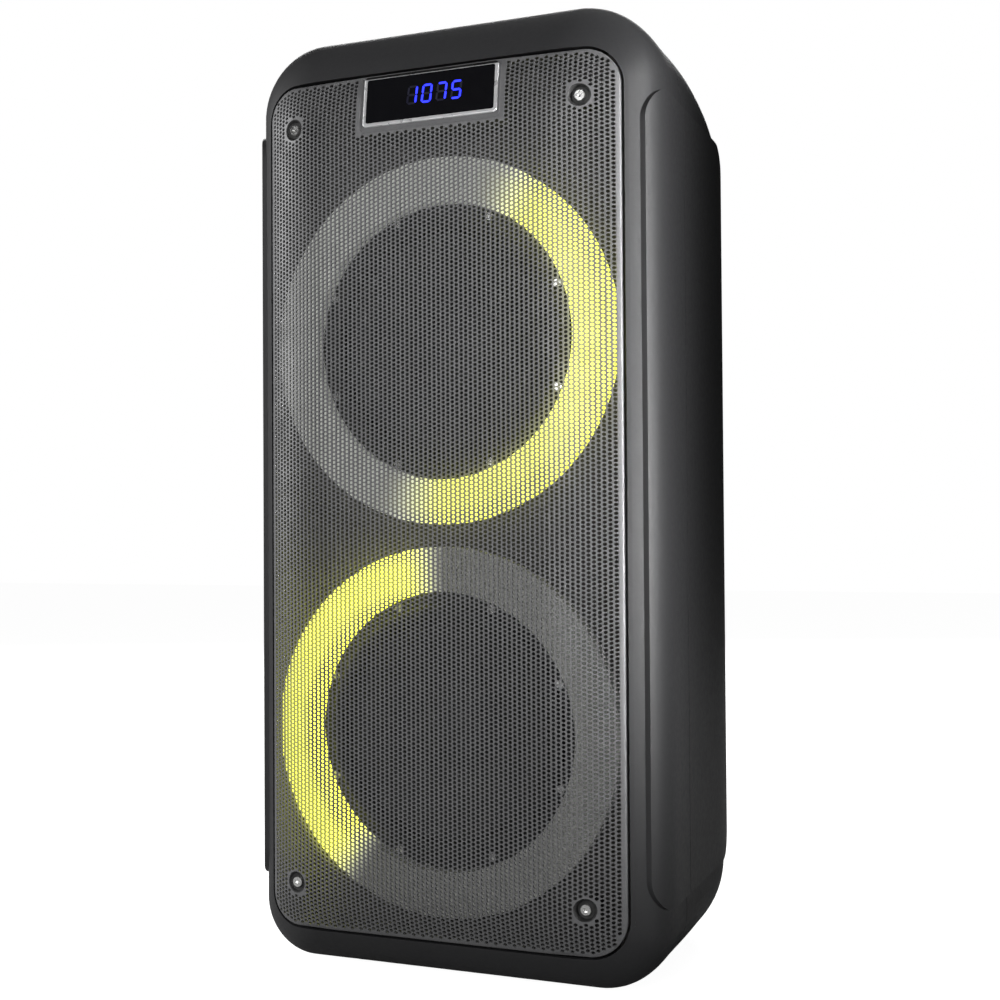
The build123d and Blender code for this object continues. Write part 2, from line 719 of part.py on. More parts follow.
with BuildPart() as woofer_screws:
    for level in WOOFERS.values():
        with BuildSketch(depth_plane(FLANGE_FRONT - 1)):
            with woofer_screw_places(level):
                Circle(2.9)
        extrude(amount=2.2)
        with BuildSketch(depth_plane(BAFFLE_BACK - 3)):
            with woofer_screw_places(level):
                Circle(1.6)
        extrude(amount=BAFFLE_BACK - 3 - FLANGE_FRONT + 1)
finish("woofer_screws", woofer_screws.part)

# ---- boards, battery and leads ------------------------------------------------------------


def capacitor(across, level, radius, height):
    """An upright can on the front face of a rear board."""
    with BuildPart() as can:
        with BuildSketch(depth_plane(BOARD_DEPTH)):
            with Locations((across, level)):
                Circle(radius)
        extrude(amount=height)
        fillet(can.faces().sort_by(Axis.Y)[0].edges(), 1.2)
    return can.part


with BuildPart() as amplifier_board:
    with BuildSketch(depth_plane(BOARD_BACK)):
        with Locations(panel_centre):
            Rectangle(180, 100)
    extrude(amount=BOARD_SHEET)
    for across in (48, 70):
        add(capacitor(across, 134, 9, 26))
        add(block((across - 8, across + 8), (222, BOARD_DEPTH), (160, 176)))
    for across in (-30, -10, 10):
        add(block((across - 6, across + 6), (234, BOARD_DEPTH), (158, 172)))
    with BuildSketch(depth_plane(BOARD_BACK)):
        with Locations(*AMPLIFIER_PLACES):
            Circle(1.6)
    extrude(amount=BOARD_SHEET, mode=Mode.SUBTRACT)
finish("amplifier_board", amplifier_board.part)

HEAT_SINK_BACK = 234
with BuildPart() as heat_sink:
    add(block((-44, 24), (HEAT_SINK_BACK - 4, HEAT_SINK_BACK), (140, 190)))
    for step in range(9):
        fin = -44 + 8.25 * step
        add(block((fin, fin + 2), (HEAT_SINK_BACK - 30, HEAT_SINK_BACK - 4), (140, 190)))
finish("heat_sink", heat_sink.part)

with BuildPart() as power_supply_board:
    with BuildSketch(depth_plane(BOARD_BACK)):
        with Locations((0, 327)):
            Rectangle(120, 130)
    extrude(amount=BOARD_SHEET)
    add(block((-24, 20), (202, BOARD_DEPTH), (320, 362)))
    add(block((-40, -16), (214, BOARD_DEPTH), (272, 300)))
    for across in (8, 30):
        add(capacitor(across, 286, 10, 30))
    add(block((34, 46), (216, BOARD_DEPTH), (330, 372)))
    with BuildSketch(depth_plane(BOARD_BACK)):
        with Locations(*SUPPLY_PLACES):
            Circle(1.6)
    extrude(amount=BOARD_SHEET, mode=Mode.SUBTRACT)
finish("power_supply_board", power_supply_board.part)

with BuildPart() as battery_pack:
    with BuildSketch(depth_plane(182)):
        with Locations((0, 44.6)):
            RectangleRounded(150, 70, 4)
    extrude(amount=70)
    fillet(battery_pack.faces().sort_by(Axis.Y)[0].edges(), 2)
finish("battery_pack", battery_pack.part)


def place(across, depth, level):
    """A point given by across, depth and level."""
    return (across, FRONT_Y + depth, level)


def lead(points, bend):
    """A round lead that bends on arcs between straight runs."""
    with BuildPart() as wire:
        with BuildLine():
            route = FilletPolyline(*points, radius=bend)
        with BuildSketch(Plane(origin=route @ 0, z_dir=route % 0)):
            Circle(1.4)
        sweep()
    return wire.part


with BuildPart() as speaker_leads:
    lower_route = [
        place(80, BOARD_DEPTH, 196),
        place(80, 196, 196),
        place(96, 130, 188),
        place(96, 76, LOWER_LEVEL),
        place(70.2, 76, LOWER_LEVEL),
    ]
    upper_route = [
        place(-80, BOARD_DEPTH, 150),
        place(-80, 196, 150),
        place(-100, 150, 290),
        place(-70, 140, 390),
        place(60, 130, 440),
        place(104, 96, UPPER_LEVEL - 6),
        place(100, 76, UPPER_LEVEL),
        place(70.2, 76, UPPER_LEVEL),
    ]
    add(lead(lower_route, 10))
    add(lead(upper_route, 6))
finish("speaker_leads", speaker_leads.part)

# ---- top controls -------------------------------------------------------------------------

CAP_TOP = CONTROL_LEVEL + 2.5
FLANGE_TOP = CONTROL_LEDGE - 0.2
SWITCH_TOP = CONTROL_LEVEL - 9.6
STEM_BOTTOM = SWITCH_TOP + 1.4
KNOB_RADIUS = 15
SHAFT_RADIUS = 3


def at_control(across):
    return Locations((across, FRONT_Y + CONTROL_DEPTH))


with BuildPart() as control_panel:
    with BuildSketch(level_plane(CONTROL_LEDGE)):
        with at_control(0):
            RectangleRounded(CONTROL_SIZE[0] - 2 * FIT, CONTROL_SIZE[1] - 2 * FIT, 5.7)
            Circle(SHAFT_RADIUS + BUSH, mode=Mode.SUBTRACT)
        for across in BUTTON_PLACES:
            with at_control(across):
                width, length = BUTTON_SIZE
                RectangleRounded(width + 2 * FIT, length + 2 * FIT, 3.3, mode=Mode.SUBTRACT)
    extrude(amount=CONTROL_LEVEL - CONTROL_LEDGE)
    with BuildSketch(level_plane(CONTROL_LEVEL - 14.4)):
        for across in (-86, -39.5, 39.5, 86):
            for offset in (-11, 11):
                with Locations((across, FRONT_Y + CONTROL_DEPTH + offset)):
                    Circle(1.8)
    extrude(amount=14.4 - 3)
finish("control_panel", control_panel.part)

with BuildPart() as control_board:
    with BuildSketch(level_plane(CONTROL_LEVEL - 16)):
        with at_control(0):
            Rectangle(176, 27)
    extrude(amount=BOARD_SHEET)
    with BuildSketch(level_plane(CONTROL_LEVEL - 14.4)):
        for across in BUTTON_PLACES:
            with at_control(across):
                Rectangle(6, 6)
    extrude(amount=4)
    with BuildSketch(level_plane(CONTROL_LEVEL - 14.4)):
        for across in BUTTON_PLACES:
            with at_control(across):
                Circle(1.6)
    extrude(amount=4.8)
    with BuildSketch(level_plane(CONTROL_LEVEL - 14.4)):
        with at_control(0):
            Rectangle(13, 13)
    extrude(amount=6)
finish("control_board", control_board.part)

for name, across in zip(BUTTONS, BUTTON_PLACES):
    with BuildPart() as button:
        with BuildSketch(level_plane(FLANGE_TOP - 2)):
            with at_control(across):
                RectangleRounded(*BUTTON_SIZE, 3)
        extrude(amount=CAP_TOP - FLANGE_TOP + 2)
        fillet(button.faces().sort_by(Axis.Z)[-1].edges(), 1)
        with BuildSketch(level_plane(FLANGE_TOP - 2)):
            with at_control(across):
                RectangleRounded(BUTTON_SIZE[0] + 3, BUTTON_SIZE[1] + 3, 4)
        extrude(amount=2)
        with BuildSketch(level_plane(STEM_BOTTOM)):
            with at_control(across):
                Circle(2.5)
        extrude(amount=FLANGE_TOP - 2 - STEM_BOTTOM)
    finish(f"{name}_button", button.part)

with BuildPart() as volume_knob:
    with BuildSketch(level_plane(CONTROL_LEVEL + 0.8)):
        with at_control(0):
            Circle(KNOB_RADIUS)
    extrude(amount=TOP_LEVEL - CONTROL_LEVEL - 0.8)
    fillet(volume_knob.faces().sort_by(Axis.Z)[-1].edges(), 1.2)
    with BuildSketch(level_plane(TOP_LEVEL - 0.8)):
        with Locations((0, FRONT_Y + CONTROL_DEPTH - KNOB_RADIUS + 4)):
            RectangleRounded(1.6, 5, 0.7)
    extrude(amount=0.8, mode=Mode.SUBTRACT)
    with BuildSketch(level_plane(CONTROL_LEVEL - 8)):
        with at_control(0):
            Circle(SHAFT_RADIUS)
    extrude(amount=8.8)
finish("volume_knob", volume_knob.part)

# ---- rear panel and its parts -------------------------------------------------------------

KNOB_PLACES = {"mic_knob": (-50, 198), "guitar_knob": (-18, 198)}
BIG_JACKS = [(-50, 162), (-18, 162)]
SMALL_JACK = (14, 162)
USB_CENTRE = (48, 198)
USB_SIZE = (15, 8)
INLET_CENTRE = (34, 129)
INLET_SIZE = (27, 19.4)
ROCKER_CENTRE = (-36, 129)
ROCKER_SIZE = (20, 12)
ROCKER_AXIS = 270
ROCKER_REST = 8

with BuildPart() as rear_panel:
    with BuildSketch(depth_plane(REAR_PANEL_DEPTH)):
        with Locations(panel_centre):
            RectangleRounded(*REAR_PANEL_SIZE, 4.7)
        with Locations(*KNOB_PLACES.values()):
            Circle(SHAFT_RADIUS + BUSH, mode=Mode.SUBTRACT)
        with Locations(*BIG_JACKS):
            Circle(6.2, mode=Mode.SUBTRACT)
        with Locations(SMALL_JACK):
            Circle(3.7, mode=Mode.SUBTRACT)
        with Locations(USB_CENTRE):
            Rectangle(USB_SIZE[0] + 0.4, USB_SIZE[1] + 0.4, mode=Mode.SUBTRACT)
        with Locations(INLET_CENTRE):
            Rectangle(INLET_SIZE[0] + 0.4, INLET_SIZE[1] + 0.4, mode=Mode.SUBTRACT)
        with Locations(ROCKER_CENTRE):
            Rectangle(ROCKER_SIZE[0] + 1, ROCKER_SIZE[1] + 2, mode=Mode.SUBTRACT)
        with Locations(*PANEL_PLACES):
            Circle(1.6, mode=Mode.SUBTRACT)
    extrude(amount=REAR_PANEL_SHEET)
    # cheeks that hold the rocker's pins
    for sign in (-1, 1):
        cheek = ROCKER_CENTRE[0] + sign * 12.2
        levels = (ROCKER_CENTRE[1] - 5, ROCKER_CENTRE[1] + 5)
        add(block((cheek - 1.4, cheek + 1.4), (264, 273), levels))
    with BuildSketch(Plane.YZ.offset(ROCKER_CENTRE[0] - 12)):
        with Locations((FRONT_Y + ROCKER_AXIS, ROCKER_CENTRE[1])):
            Circle(1.3 + BUSH)
    extrude(amount=24, mode=Mode.SUBTRACT)
finish("rear_panel", rear_panel.part)

rocker_rest = radians(ROCKER_REST)
rocker_plane = Plane(
    origin=(ROCKER_CENTRE[0], FRONT_Y + ROCKER_AXIS, ROCKER_CENTRE[1]),
    x_dir=(0, cos(rocker_rest), sin(rocker_rest)),
    z_dir=(1, 0, 0),
)

with BuildPart() as rocker_switch:
    with BuildSketch(rocker_plane):
        with BuildLine():
            Polyline(
                (-3, -3),
                (-3, 3),
                (3, 5.6),
                (8.6, 5.4),
                (7.4, 0),
                (8.6, -5.4),
                (3, -5.6),
                close=True,
            )
        make_face()
    extrude(amount=ROCKER_SIZE[0] / 2, both=True)
    with BuildSketch(rocker_plane):
        Circle(1.3)
    extrude(amount=11.8, both=True)
finish("rocker_switch", rocker_switch.part)


def jack(centre, bore, thread, nut, body_side):
    """A panel jack: body and thread behind its nut, with a bore open to the rear."""
    with BuildPart() as socket:
        with BuildSketch(depth_plane(REAR_LEDGE)):
            with Locations(centre):
                Rectangle(body_side, body_side)
        extrude(amount=22)
        with BuildSketch(depth_plane(REAR_PANEL_DEPTH + 2.5)):
            with Locations(centre):
                Circle(thread)
        extrude(amount=REAR_PANEL_SHEET + 2.5)
        with BuildSketch(depth_plane(REAR_PANEL_DEPTH + 2)):
            with Locations(centre):
                RegularPolygon(nut, 6)
        extrude(amount=2)
        with BuildSketch(depth_plane(REAR_PANEL_DEPTH + 2.5)):
            with Locations(centre):
                Circle(bore)
        extrude(amount=22, mode=Mode.SUBTRACT)
    return socket.part


with BuildPart() as input_jacks:
    for centre in BIG_JACKS:
        add(jack(centre, 3.3, 6, 8.5, 16))
    add(jack(SMALL_JACK, 1.8, 3.5, 5.5, 10))
finish("input_jacks", input_jacks.part)

for name, centre in KNOB_PLACES.items():
    with BuildPart() as level_knob:
        with BuildSketch(depth_plane(REAR_PANEL_DEPTH + 12)):
            with Locations(centre):
                Circle(8)
        extrude(amount=11)
        fillet(level_knob.faces().sort_by(Axis.Y)[-1].edges(), 1)
        with BuildSketch(depth_plane(REAR_PANEL_DEPTH + 12)):
            with Locations((centre[0], centre[1] + 5)):
                RectangleRounded(1.4, 4.4, 0.6)
        extrude(amount=0.8, mode=Mode.SUBTRACT)
        with BuildSketch(depth_plane(REAR_PANEL_DEPTH + 1)):
            with Locations(centre):
                Circle(SHAFT_RADIUS)
        extrude(amount=15)
    finish(name, level_knob.part)

with BuildPart() as usb_socket:
    with BuildSketch(depth_plane(REAR_PANEL_DEPTH)):
        with Locations(USB_CENTRE):
            Rectangle(*USB_SIZE)
            Rectangle(USB_SIZE[0] - 2, USB_SIZE[1] - 2, mode=Mode.SUBTRACT)
    extrude(amount=16)
    with BuildSketch(depth_plane(REAR_PANEL_DEPTH - 16)):
        with Locations(USB_CENTRE):
            Rectangle(*USB_SIZE)
    extrude(amount=2)
    with BuildSketch(depth_plane(REAR_PANEL_DEPTH - 3)):
        with Locations((USB_CENTRE[0], USB_CENTRE[1] + 1.6)):
            Rectangle(11, 1.8)
    extrude(amount=13)
finish("usb_socket", usb_socket.part)

with BuildPart() as power_inlet:
    with BuildSketch(depth_plane(REAR_PANEL_DEPTH + 2)):
        with Locations(INLET_CENTRE):
            RectangleRounded(INLET_SIZE[0] + 6, INLET_SIZE[1] + 6, 3)
    extrude(amount=2)
    with BuildSketch(depth_plane(REAR_PANEL_DEPTH)):
        with Locations(INLET_CENTRE):
            Rectangle(*INLET_SIZE)
    extrude(amount=20)
    with BuildSketch(depth_plane(REAR_PANEL_DEPTH + 2)):
        with Locations(INLET_CENTRE):
            RectangleRounded(24, 16.4, 2.5)
    extrude(amount=19, mode=Mode.SUBTRACT)
    with BuildSketch(depth_plane(REAR_PANEL_DEPTH - 17)):
        with Locations(INLET_CENTRE):
            with Locations((-7, -1.5), (0, 2.5), (7, -1.5)):
                Rectangle(2, 4)
    extrude(amount=12)
finish("power_inlet", power_inlet.part)

with BuildPart() as rear_screws:
    with BuildSketch(depth_plane(REAR_PANEL_DEPTH + 2)):
        with Locations(*PANEL_PLACES):
            Circle(2.8)
    extrude(amount=2)
    with BuildSketch(depth_plane(REAR_PANEL_DEPTH)):
        with Locations(*PANEL_PLACES):
            Circle(1.4)
    extrude(amount=9)
    with BuildSketch(depth_plane(BOARD_DEPTH)):
        with Locations(*AMPLIFIER_PLACES, *SUPPLY_PLACES):
            Circle(2.8)
    extrude(amount=2)
    with BuildSketch(depth_plane(BOARD_DEPTH + 9)):
        with Locations(*AMPLIFIER_PLACES, *SUPPLY_PLACES):
            Circle(1.4)
    extrude(amount=9)
finish("rear_screws", rear_screws.part)

with BuildPart() as cabinet_screws:
    with BuildSketch(depth_plane(WELL_FLOOR + 3)):
        with cabinet_screw_places():
            Circle(4)
    extrude(amount=3)
    with BuildSketch(depth_plane(WELL_FLOOR)):
        with cabinet_screw_places():
            Circle(1.9)
    extrude(amount=WELL_FLOOR - BAFFLE_BOSS_TIP + 20)
    with BuildSketch(depth_plane(WELL_FLOOR + 3)):
        with cabinet_screw_places():
            RegularPolygon(1.7, 6)
    extrude(amount=2, mode=Mode.SUBTRACT)
finish("cabinet_screws", cabinet_screws.part)

# ---- ports, handle and feet ---------------------------------------------------------------

with BuildPart() as reflex_ports:
    for across in (-PORT_X, PORT_X):
        add(
            spun(
                PORT_LEVEL,
                [
                    (180, PORT_RADIUS),
                    (180, PORT_TUBE),
                    (BODY_DEPTH - 2, PORT_TUBE),
                    (BODY_DEPTH - 2, PORT_FLANGE),
                    (BODY_DEPTH - 0.4, PORT_FLANGE),
                    (BODY_DEPTH - 0.4, PORT_FLANGE - 4.5),
                    (BODY_DEPTH - 1.4, PORT_TUBE - 0.1),
                    (BODY_DEPTH - 6, PORT_RADIUS + 0.6),
                    (BODY_DEPTH - 14, PORT_RADIUS),
                ],
                across,
            )
        )
finish("reflex_ports", reflex_ports.part)

with BuildPart() as handle_bar:
    with BuildSketch(Plane.YZ.offset(-HANDLE_POCKET[0] / 2)):
        with Locations((FRONT_Y + HANDLE_DEPTH, HANDLE_TOP - HANDLE_SIZE[1] / 2)):
            RectangleRounded(*HANDLE_SIZE, 8.5)
    extrude(amount=HANDLE_POCKET[0])
finish("handle_bar", handle_bar.part)

with BuildPart() as feet:
    with BuildSketch(level_plane(0)):
        with foot_places(FRONT_FOOT_DEPTH):
            Circle(FOOT_RADIUS)
        with foot_places(REAR_FOOT_DEPTH):
            Circle(FOOT_RADIUS)
    extrude(amount=FOOT_HEIGHT + 2)
    chamfer(feet.faces().group_by(Axis.Z)[0].edges(), 1.2)
finish("feet", feet.part)
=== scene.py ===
"""Looks of the party speaker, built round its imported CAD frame. Metres, +Z up, front at -Y."""

import json
import math

import bpy
import numpy as np
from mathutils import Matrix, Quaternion, Vector
from mathutils.geometry import delaunay_2d_cdt
from mathutils.kdtree import KDTree

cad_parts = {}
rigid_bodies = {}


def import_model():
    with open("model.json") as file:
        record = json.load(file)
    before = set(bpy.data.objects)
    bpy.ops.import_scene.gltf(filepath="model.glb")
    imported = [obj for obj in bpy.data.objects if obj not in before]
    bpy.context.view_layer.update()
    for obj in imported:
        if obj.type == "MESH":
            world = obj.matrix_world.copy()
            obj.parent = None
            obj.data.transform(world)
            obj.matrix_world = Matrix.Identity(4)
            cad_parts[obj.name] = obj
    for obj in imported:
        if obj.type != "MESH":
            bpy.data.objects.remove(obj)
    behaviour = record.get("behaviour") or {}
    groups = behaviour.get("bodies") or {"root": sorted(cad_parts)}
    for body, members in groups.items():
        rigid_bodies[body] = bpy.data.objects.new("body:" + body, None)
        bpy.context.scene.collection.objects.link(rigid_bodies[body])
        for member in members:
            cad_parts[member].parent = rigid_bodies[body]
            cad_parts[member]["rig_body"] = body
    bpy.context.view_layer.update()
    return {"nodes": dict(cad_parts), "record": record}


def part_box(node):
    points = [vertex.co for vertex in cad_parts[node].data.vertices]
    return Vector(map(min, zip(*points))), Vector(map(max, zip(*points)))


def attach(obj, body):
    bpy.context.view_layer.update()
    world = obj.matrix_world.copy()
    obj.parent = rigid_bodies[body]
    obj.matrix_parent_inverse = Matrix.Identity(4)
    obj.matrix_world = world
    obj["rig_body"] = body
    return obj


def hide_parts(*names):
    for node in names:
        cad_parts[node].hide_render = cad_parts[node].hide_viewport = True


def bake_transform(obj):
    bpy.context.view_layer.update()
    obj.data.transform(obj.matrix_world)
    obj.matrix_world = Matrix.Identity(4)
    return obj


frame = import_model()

MM = 0.001

# ---- sizes: the frame's own where it holds them, else the CAD design's -----------------------

grille_low, grille_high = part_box("grille")
bezel_low, bezel_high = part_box("front_bezel")
FACE_Y = grille_low.y  # the flat middle of the face
FRONT_Y = FACE_Y - 1 * MM  # depths are measured from here
GRILLE_HALF = grille_high.x
GRILLE_BOTTOM = grille_low.z
GRILLE_HEIGHT = 622 * MM
GRILLE_TOP = GRILLE_BOTTOM + GRILLE_HEIGHT
GRILLE_MIDDLE = (GRILLE_TOP + GRILLE_BOTTOM) / 2
GRILLE_CORNER = 24 * MM
GRILLE_BACK = grille_high.y
SHEET = 1.3 * MM  # thickness
SIDE_HALF = bezel_high.x
BODY_TOP = bezel_high.z
TILT = math.radians(7.6)  # the display leans back
BODY_BOTTOM = bezel_low.z
# the face rolls back all round: each roll's reach and its depth
SIDE_ROLL = (77.5 * MM, 54 * MM)
TOP_ROLL = (88 * MM, 42 * MM)
BOTTOM_ROLL = (68 * MM, 42 * MM)
FACE_CORNER = 5 * MM  # the outline's corner radius at the face, then behind the rolls
TOP_CORNER = 52 * MM
BOTTOM_CORNER = 41 * MM

COLUMN = 3.5 * MM  # from one upright row of holes to the next
HOLE_PITCH = 3.0 * MM  # from one hole to the next in a row
# a hole's six corners round its middle, in millimetres
HOLE = ((1.32, 0.68), (0.0, 1.32), (-1.32, 0.68), (-1.32, -0.68), (0.0, -1.32), (1.32, -0.68))
HOLE_MARGIN = 2.4 * MM  # least distance from a hole's middle to the sheet's edge
DIMPLE_RADIUS = 8 * MM
DIMPLE_DEPTH = 9 * MM
DIMPLE_GAP = 1.9 * MM  # least distance from a dimple to a hole's middle
NOTCH_GAP = 1.5 * MM
NOTCH_CORNER = 4 * MM

RINGS = {}  # each light ring's height and outer radius
for side in ("upper", "lower"):
    low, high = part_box(f"{side}_light_ring")
    RINGS[side] = ((low.z + high.z) / 2, (high.x - low.x) / 2)
RING_INNER = 100.4 * MM


def centre_of(node):
    low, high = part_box(node)
    return (low + high) / 2


# ---- materials -----------------------------------------------------------------------------


class Finish:
    """A material under construction: its node tree and its Principled shader."""

    def __init__(self, name, colour, roughness, metallic=0.0):
        self.material = bpy.data.materials.new(name)
        self.material.use_nodes = True
        self.tree = self.material.node_tree
        self.shader = self.tree.nodes["Principled BSDF"]
        self.shader.inputs["Metallic"].default_value = metallic
        self.shader.inputs["Base Color"].default_value = (*colour, 1)
        self.shader.inputs["Roughness"].default_value = roughness
        self.colour = self.flat(colour)
        self.roughness = self.number(roughness)
        self.place = self.node("TexCoord").outputs["Object"]
        self.heights = []

    def node(self, kind, **settings):
        made = self.tree.nodes.new("ShaderNode" + kind)
        for key, value in settings.items():
            setattr(made, key, value)
        return made

    def join(self, source, target):
        self.tree.links.new(source, target)

    def flat(self, colour):
        made = self.node("RGB")
        made.outputs[0].default_value = (*colour, 1)
        return made.outputs[0]

    def number(self, value):
        made = self.node("Value")
        made.outputs[0].default_value = value
        return made.outputs[0]

    def maths(self, operation, first, second=None, clamp=False):
        made = self.node("Math", operation=operation, use_clamp=clamp)
        for socket, value in zip(made.inputs, (first, second)):
            if value is None:
                continue
            if isinstance(value, (int, float)):
                socket.default_value = value
            else:
                self.join(value, socket)
        return made.outputs[0]

    def stretched(self, scale):
        """The object's own coordinates, scaled apart along each axis."""
        made = self.node("Mapping")
        made.inputs["Scale"].default_value = scale
        self.join(self.place, made.inputs["Vector"])
        return made.outputs[0]

    def noise(self, scale, detail=3.0, place=None, rough=0.5):
        made = self.node("TexNoise")
        made.inputs["Scale"].default_value = scale
        made.inputs["Detail"].default_value = detail
        made.inputs["Roughness"].default_value = rough
        self.join(place or self.place, made.inputs["Vector"])
        return made.outputs["Fac"]

    def waves(self, scale, place=None, **settings):
        made = self.node("TexWave", **settings)
        made.inputs["Scale"].default_value = scale
        self.join(place or self.place, made.inputs["Vector"])
        return made.outputs["Fac"]

    def spread(self, source, low, high, to_low=0.0, to_high=1.0):
        made = self.node("MapRange")
        for key, value in (
            ("From Min", low),
            ("From Max", high),
            ("To Min", to_low),
            ("To Max", to_high),
        ):
            made.inputs[key].default_value = value
        self.join(source, made.inputs["Value"])
        return made.outputs["Result"]

    def blend_colour(self, amount, colour, mode="MIX"):
        """Mixes a colour, or a socket's colour, over what is there, by amount."""
        made = self.node("Mix", data_type="RGBA", blend_type=mode)
        self.join(amount, made.inputs["Factor"])
        self.join(self.colour, made.inputs["A"])
        if isinstance(colour, tuple):
            made.inputs["B"].default_value = (*colour, 1)
        else:
            self.join(colour, made.inputs["B"])
        self.colour = made.outputs["Result"]
        return self

    def mottle(self, scale, colour, low=0.4, high=0.75, most=1.0):
        """Patches of a second colour."""
        amount = self.spread(self.noise(scale, 4.0), low, high, 0.0, most)
        return self.blend_colour(amount, colour)

    def vary_gloss(self, scale, low, high):
        self.roughness = self.spread(self.noise(scale, 4.0), 0.3, 0.7, low, high)
        return self

    def grain(self, scale, depth, detail=2.0, place=None):
        """A height pattern of noise, depth in metres."""
        self.heights.append((self.noise(scale, detail, place), depth))
        return self

    def relief(self, source, depth):
        self.heights.append((source, depth))
        return self

    def wear_and_edge_highlight(self, colour, width=0.8 * MM, most=0.7):
        """Lighter edges: partly wear from handling, partly a painted highlight where a rounded
        edge would catch the light.
        """
        soft = self.node("Bevel", samples=4)
        soft.inputs["Radius"].default_value = width
        true = self.node("NewGeometry")
        meet = self.node("VectorMath", operation="DOT_PRODUCT")
        self.join(soft.outputs[0], meet.inputs[0])
        self.join(true.outputs["Normal"], meet.inputs[1])
        edge = self.spread(meet.outputs["Value"], 0.995, 0.8)
        patchy = self.spread(self.noise(160, 3.0), 0.35, 0.65, 0.35, most)
        return self.blend_colour(self.maths("MULTIPLY", edge, patchy), colour)

    def done(self):
        self.join(self.colour, self.shader.inputs["Base Color"])
        self.join(self.roughness, self.shader.inputs["Roughness"])
        normal = None
        for source, depth in self.heights:
            made = self.node("Bump")
            made.inputs["Strength"].default_value = 1.0
            made.inputs["Distance"].default_value = depth
            self.join(source, made.inputs["Height"])
            if normal:
                self.join(normal, made.inputs["Normal"])
            normal = made.outputs["Normal"]
        if normal:
            self.join(normal, self.shader.inputs["Normal"])
        return self.material


def lighter(colour, times):
    return tuple(min(part * times, 1.0) for part in colour)


def moulded(name, colour, roughness=0.55, grain=1400, depth=0.03 * MM, worn_and_highlit=2.2):
    """Injection-moulded plastic with a fine spark-eroded grain and lighter edges, partly rubbed
    and partly a painted highlight.
    """
    made = Finish(name, colour, roughness)
    made.shader.inputs["Specular IOR Level"].default_value = 0.3
    made.mottle(5, lighter(colour, 1.05), 0.35, 0.8)
    made.mottle(240, lighter(colour, 0.86), 0.55, 0.7, 0.5)
    made.vary_gloss(300, roughness - 0.03, roughness + 0.04)
    made.grain(grain, depth).grain(grain / 3.1, depth * 0.8, 1.0)
    # lighter edges: partly wear, partly a painted highlight along the edges
    if worn_and_highlit:
        made.wear_and_edge_highlight(lighter(colour, worn_and_highlit))
    return made.done()


def rubbery(name, colour):
    """Soft dull rubber with a fine dusty bloom."""
    made = Finish(name, colour, 0.72)
    made.shader.inputs["Specular IOR Level"].default_value = 0.3
    made.mottle(60, lighter(colour, 1.6), 0.45, 0.8, 0.6)
    made.vary_gloss(90, 0.66, 0.82)
    made.grain(900, 0.02 * MM)
    return made.done()


def plated(name, colour, roughness=0.28, scratch=500):
    """Plated steel with fine turning marks."""
    made = Finish(name, colour, roughness, 1.0)
    made.mottle(130, lighter(colour, 0.72), 0.45, 0.75, 0.7)
    made.vary_gloss(300, roughness - 0.07, roughness + 0.12)
    made.grain(scratch, 0.008 * MM, 4.0)
    return made.done()


def painted_sheet(name, colour, roughness=0.5):
    """Powder coat over pressed sheet: orange peel and dust."""
    made = Finish(name, colour, roughness)
    made.shader.inputs["Specular IOR Level"].default_value = 0.5
    made.mottle(14, lighter(colour, 1.12), 0.35, 0.75)
    made.mottle(700, lighter(colour, 0.8), 0.5, 0.66, 0.6)
    made.vary_gloss(70, roughness - 0.06, roughness + 0.08)
    made.grain(1700, 0.012 * MM).grain(420, 0.02 * MM, 1.0)
    return made.done()


def lit_part(made, side):
    """From 0 to 1: how brightly the ring glows, by the angle round its middle."""
    middle, half, soft = LIT[side]
    level = RINGS[side][0]
    parts = made.node("SeparateXYZ")
    made.join(made.place, parts.inputs[0])
    across = parts.outputs["X"]
    up = made.maths("SUBTRACT", parts.outputs["Z"], level)
    turn = math.radians(middle)
    along = made.maths(
        "ADD",
        made.maths("MULTIPLY", up, math.cos(turn)),
        made.maths("MULTIPLY", across, math.sin(turn)),
    )
    aside = made.maths(
        "SUBTRACT",
        made.maths("MULTIPLY", across, math.cos(turn)),
        made.maths("MULTIPLY", up, math.sin(turn)),
    )
    away = made.maths("ABSOLUTE", made.maths("ARCTAN2", aside, along))
    edge = made.node("MapRange", interpolation_type="SMOOTHSTEP")
    edge.inputs["From Min"].default_value = math.radians(half + soft)
    edge.inputs["From Max"].default_value = math.radians(half - soft)
    made.join(away, edge.inputs["Value"])
    return edge.outputs["Result"], made.maths("ARCTAN2", across, up), (across, up)


# degrees clockwise from the top: middle of the lit part, half its reach, softness of its ends
LIT = {"upper": (109, 81, 12), "lower": (-74, 68, 8)}
GLOW = {"upper": (0.76, 0.77, 0.09), "lower": (1.6, 1.63, 0.12)}
UNLIT_GLOW = {"upper": 0.26, "lower": 0.03}
LIT_POWER = 1.75
PAINTED_GLOW_POWER = 0.16  # painted glow on the sheet between the holes, standing in for the rings' light
LAMPS = 24  # in each ring


def ring_material(side):
    """Frosted diffuser: white, yellow where it is lit, with a soft dot for each lamp."""
    made = Finish(f"{side}_ring_diffuser", (0.34, 0.34, 0.32), 0.45)
    lit, turn, _ = lit_part(made, side)
    dots = made.maths("COSINE", made.maths("MULTIPLY", turn, float(LAMPS)))
    beads = made.spread(dots, -1.0, 1.0, 0.93, 1.07)
    mixed = made.node("Mix", data_type="RGBA")
    made.join(lit, mixed.inputs["Factor"])
    mixed.inputs["A"].default_value = (0.9, 0.92, 0.86, 1)
    mixed.inputs["B"].default_value = (*GLOW[side], 1)
    made.join(mixed.outputs["Result"], made.shader.inputs["Emission Color"])
    power = made.spread(lit, 0.0, 1.0, UNLIT_GLOW[side], LIT_POWER)
    made.join(made.maths("MULTIPLY", power, beads), made.shader.inputs["Emission Strength"])
    made.mottle(40, (0.3, 0.31, 0.27), 0.4, 0.7, 0.6)
    made.vary_gloss(80, 0.4, 0.55)
    made.grain(1200, 0.02 * MM)
    return made.done()


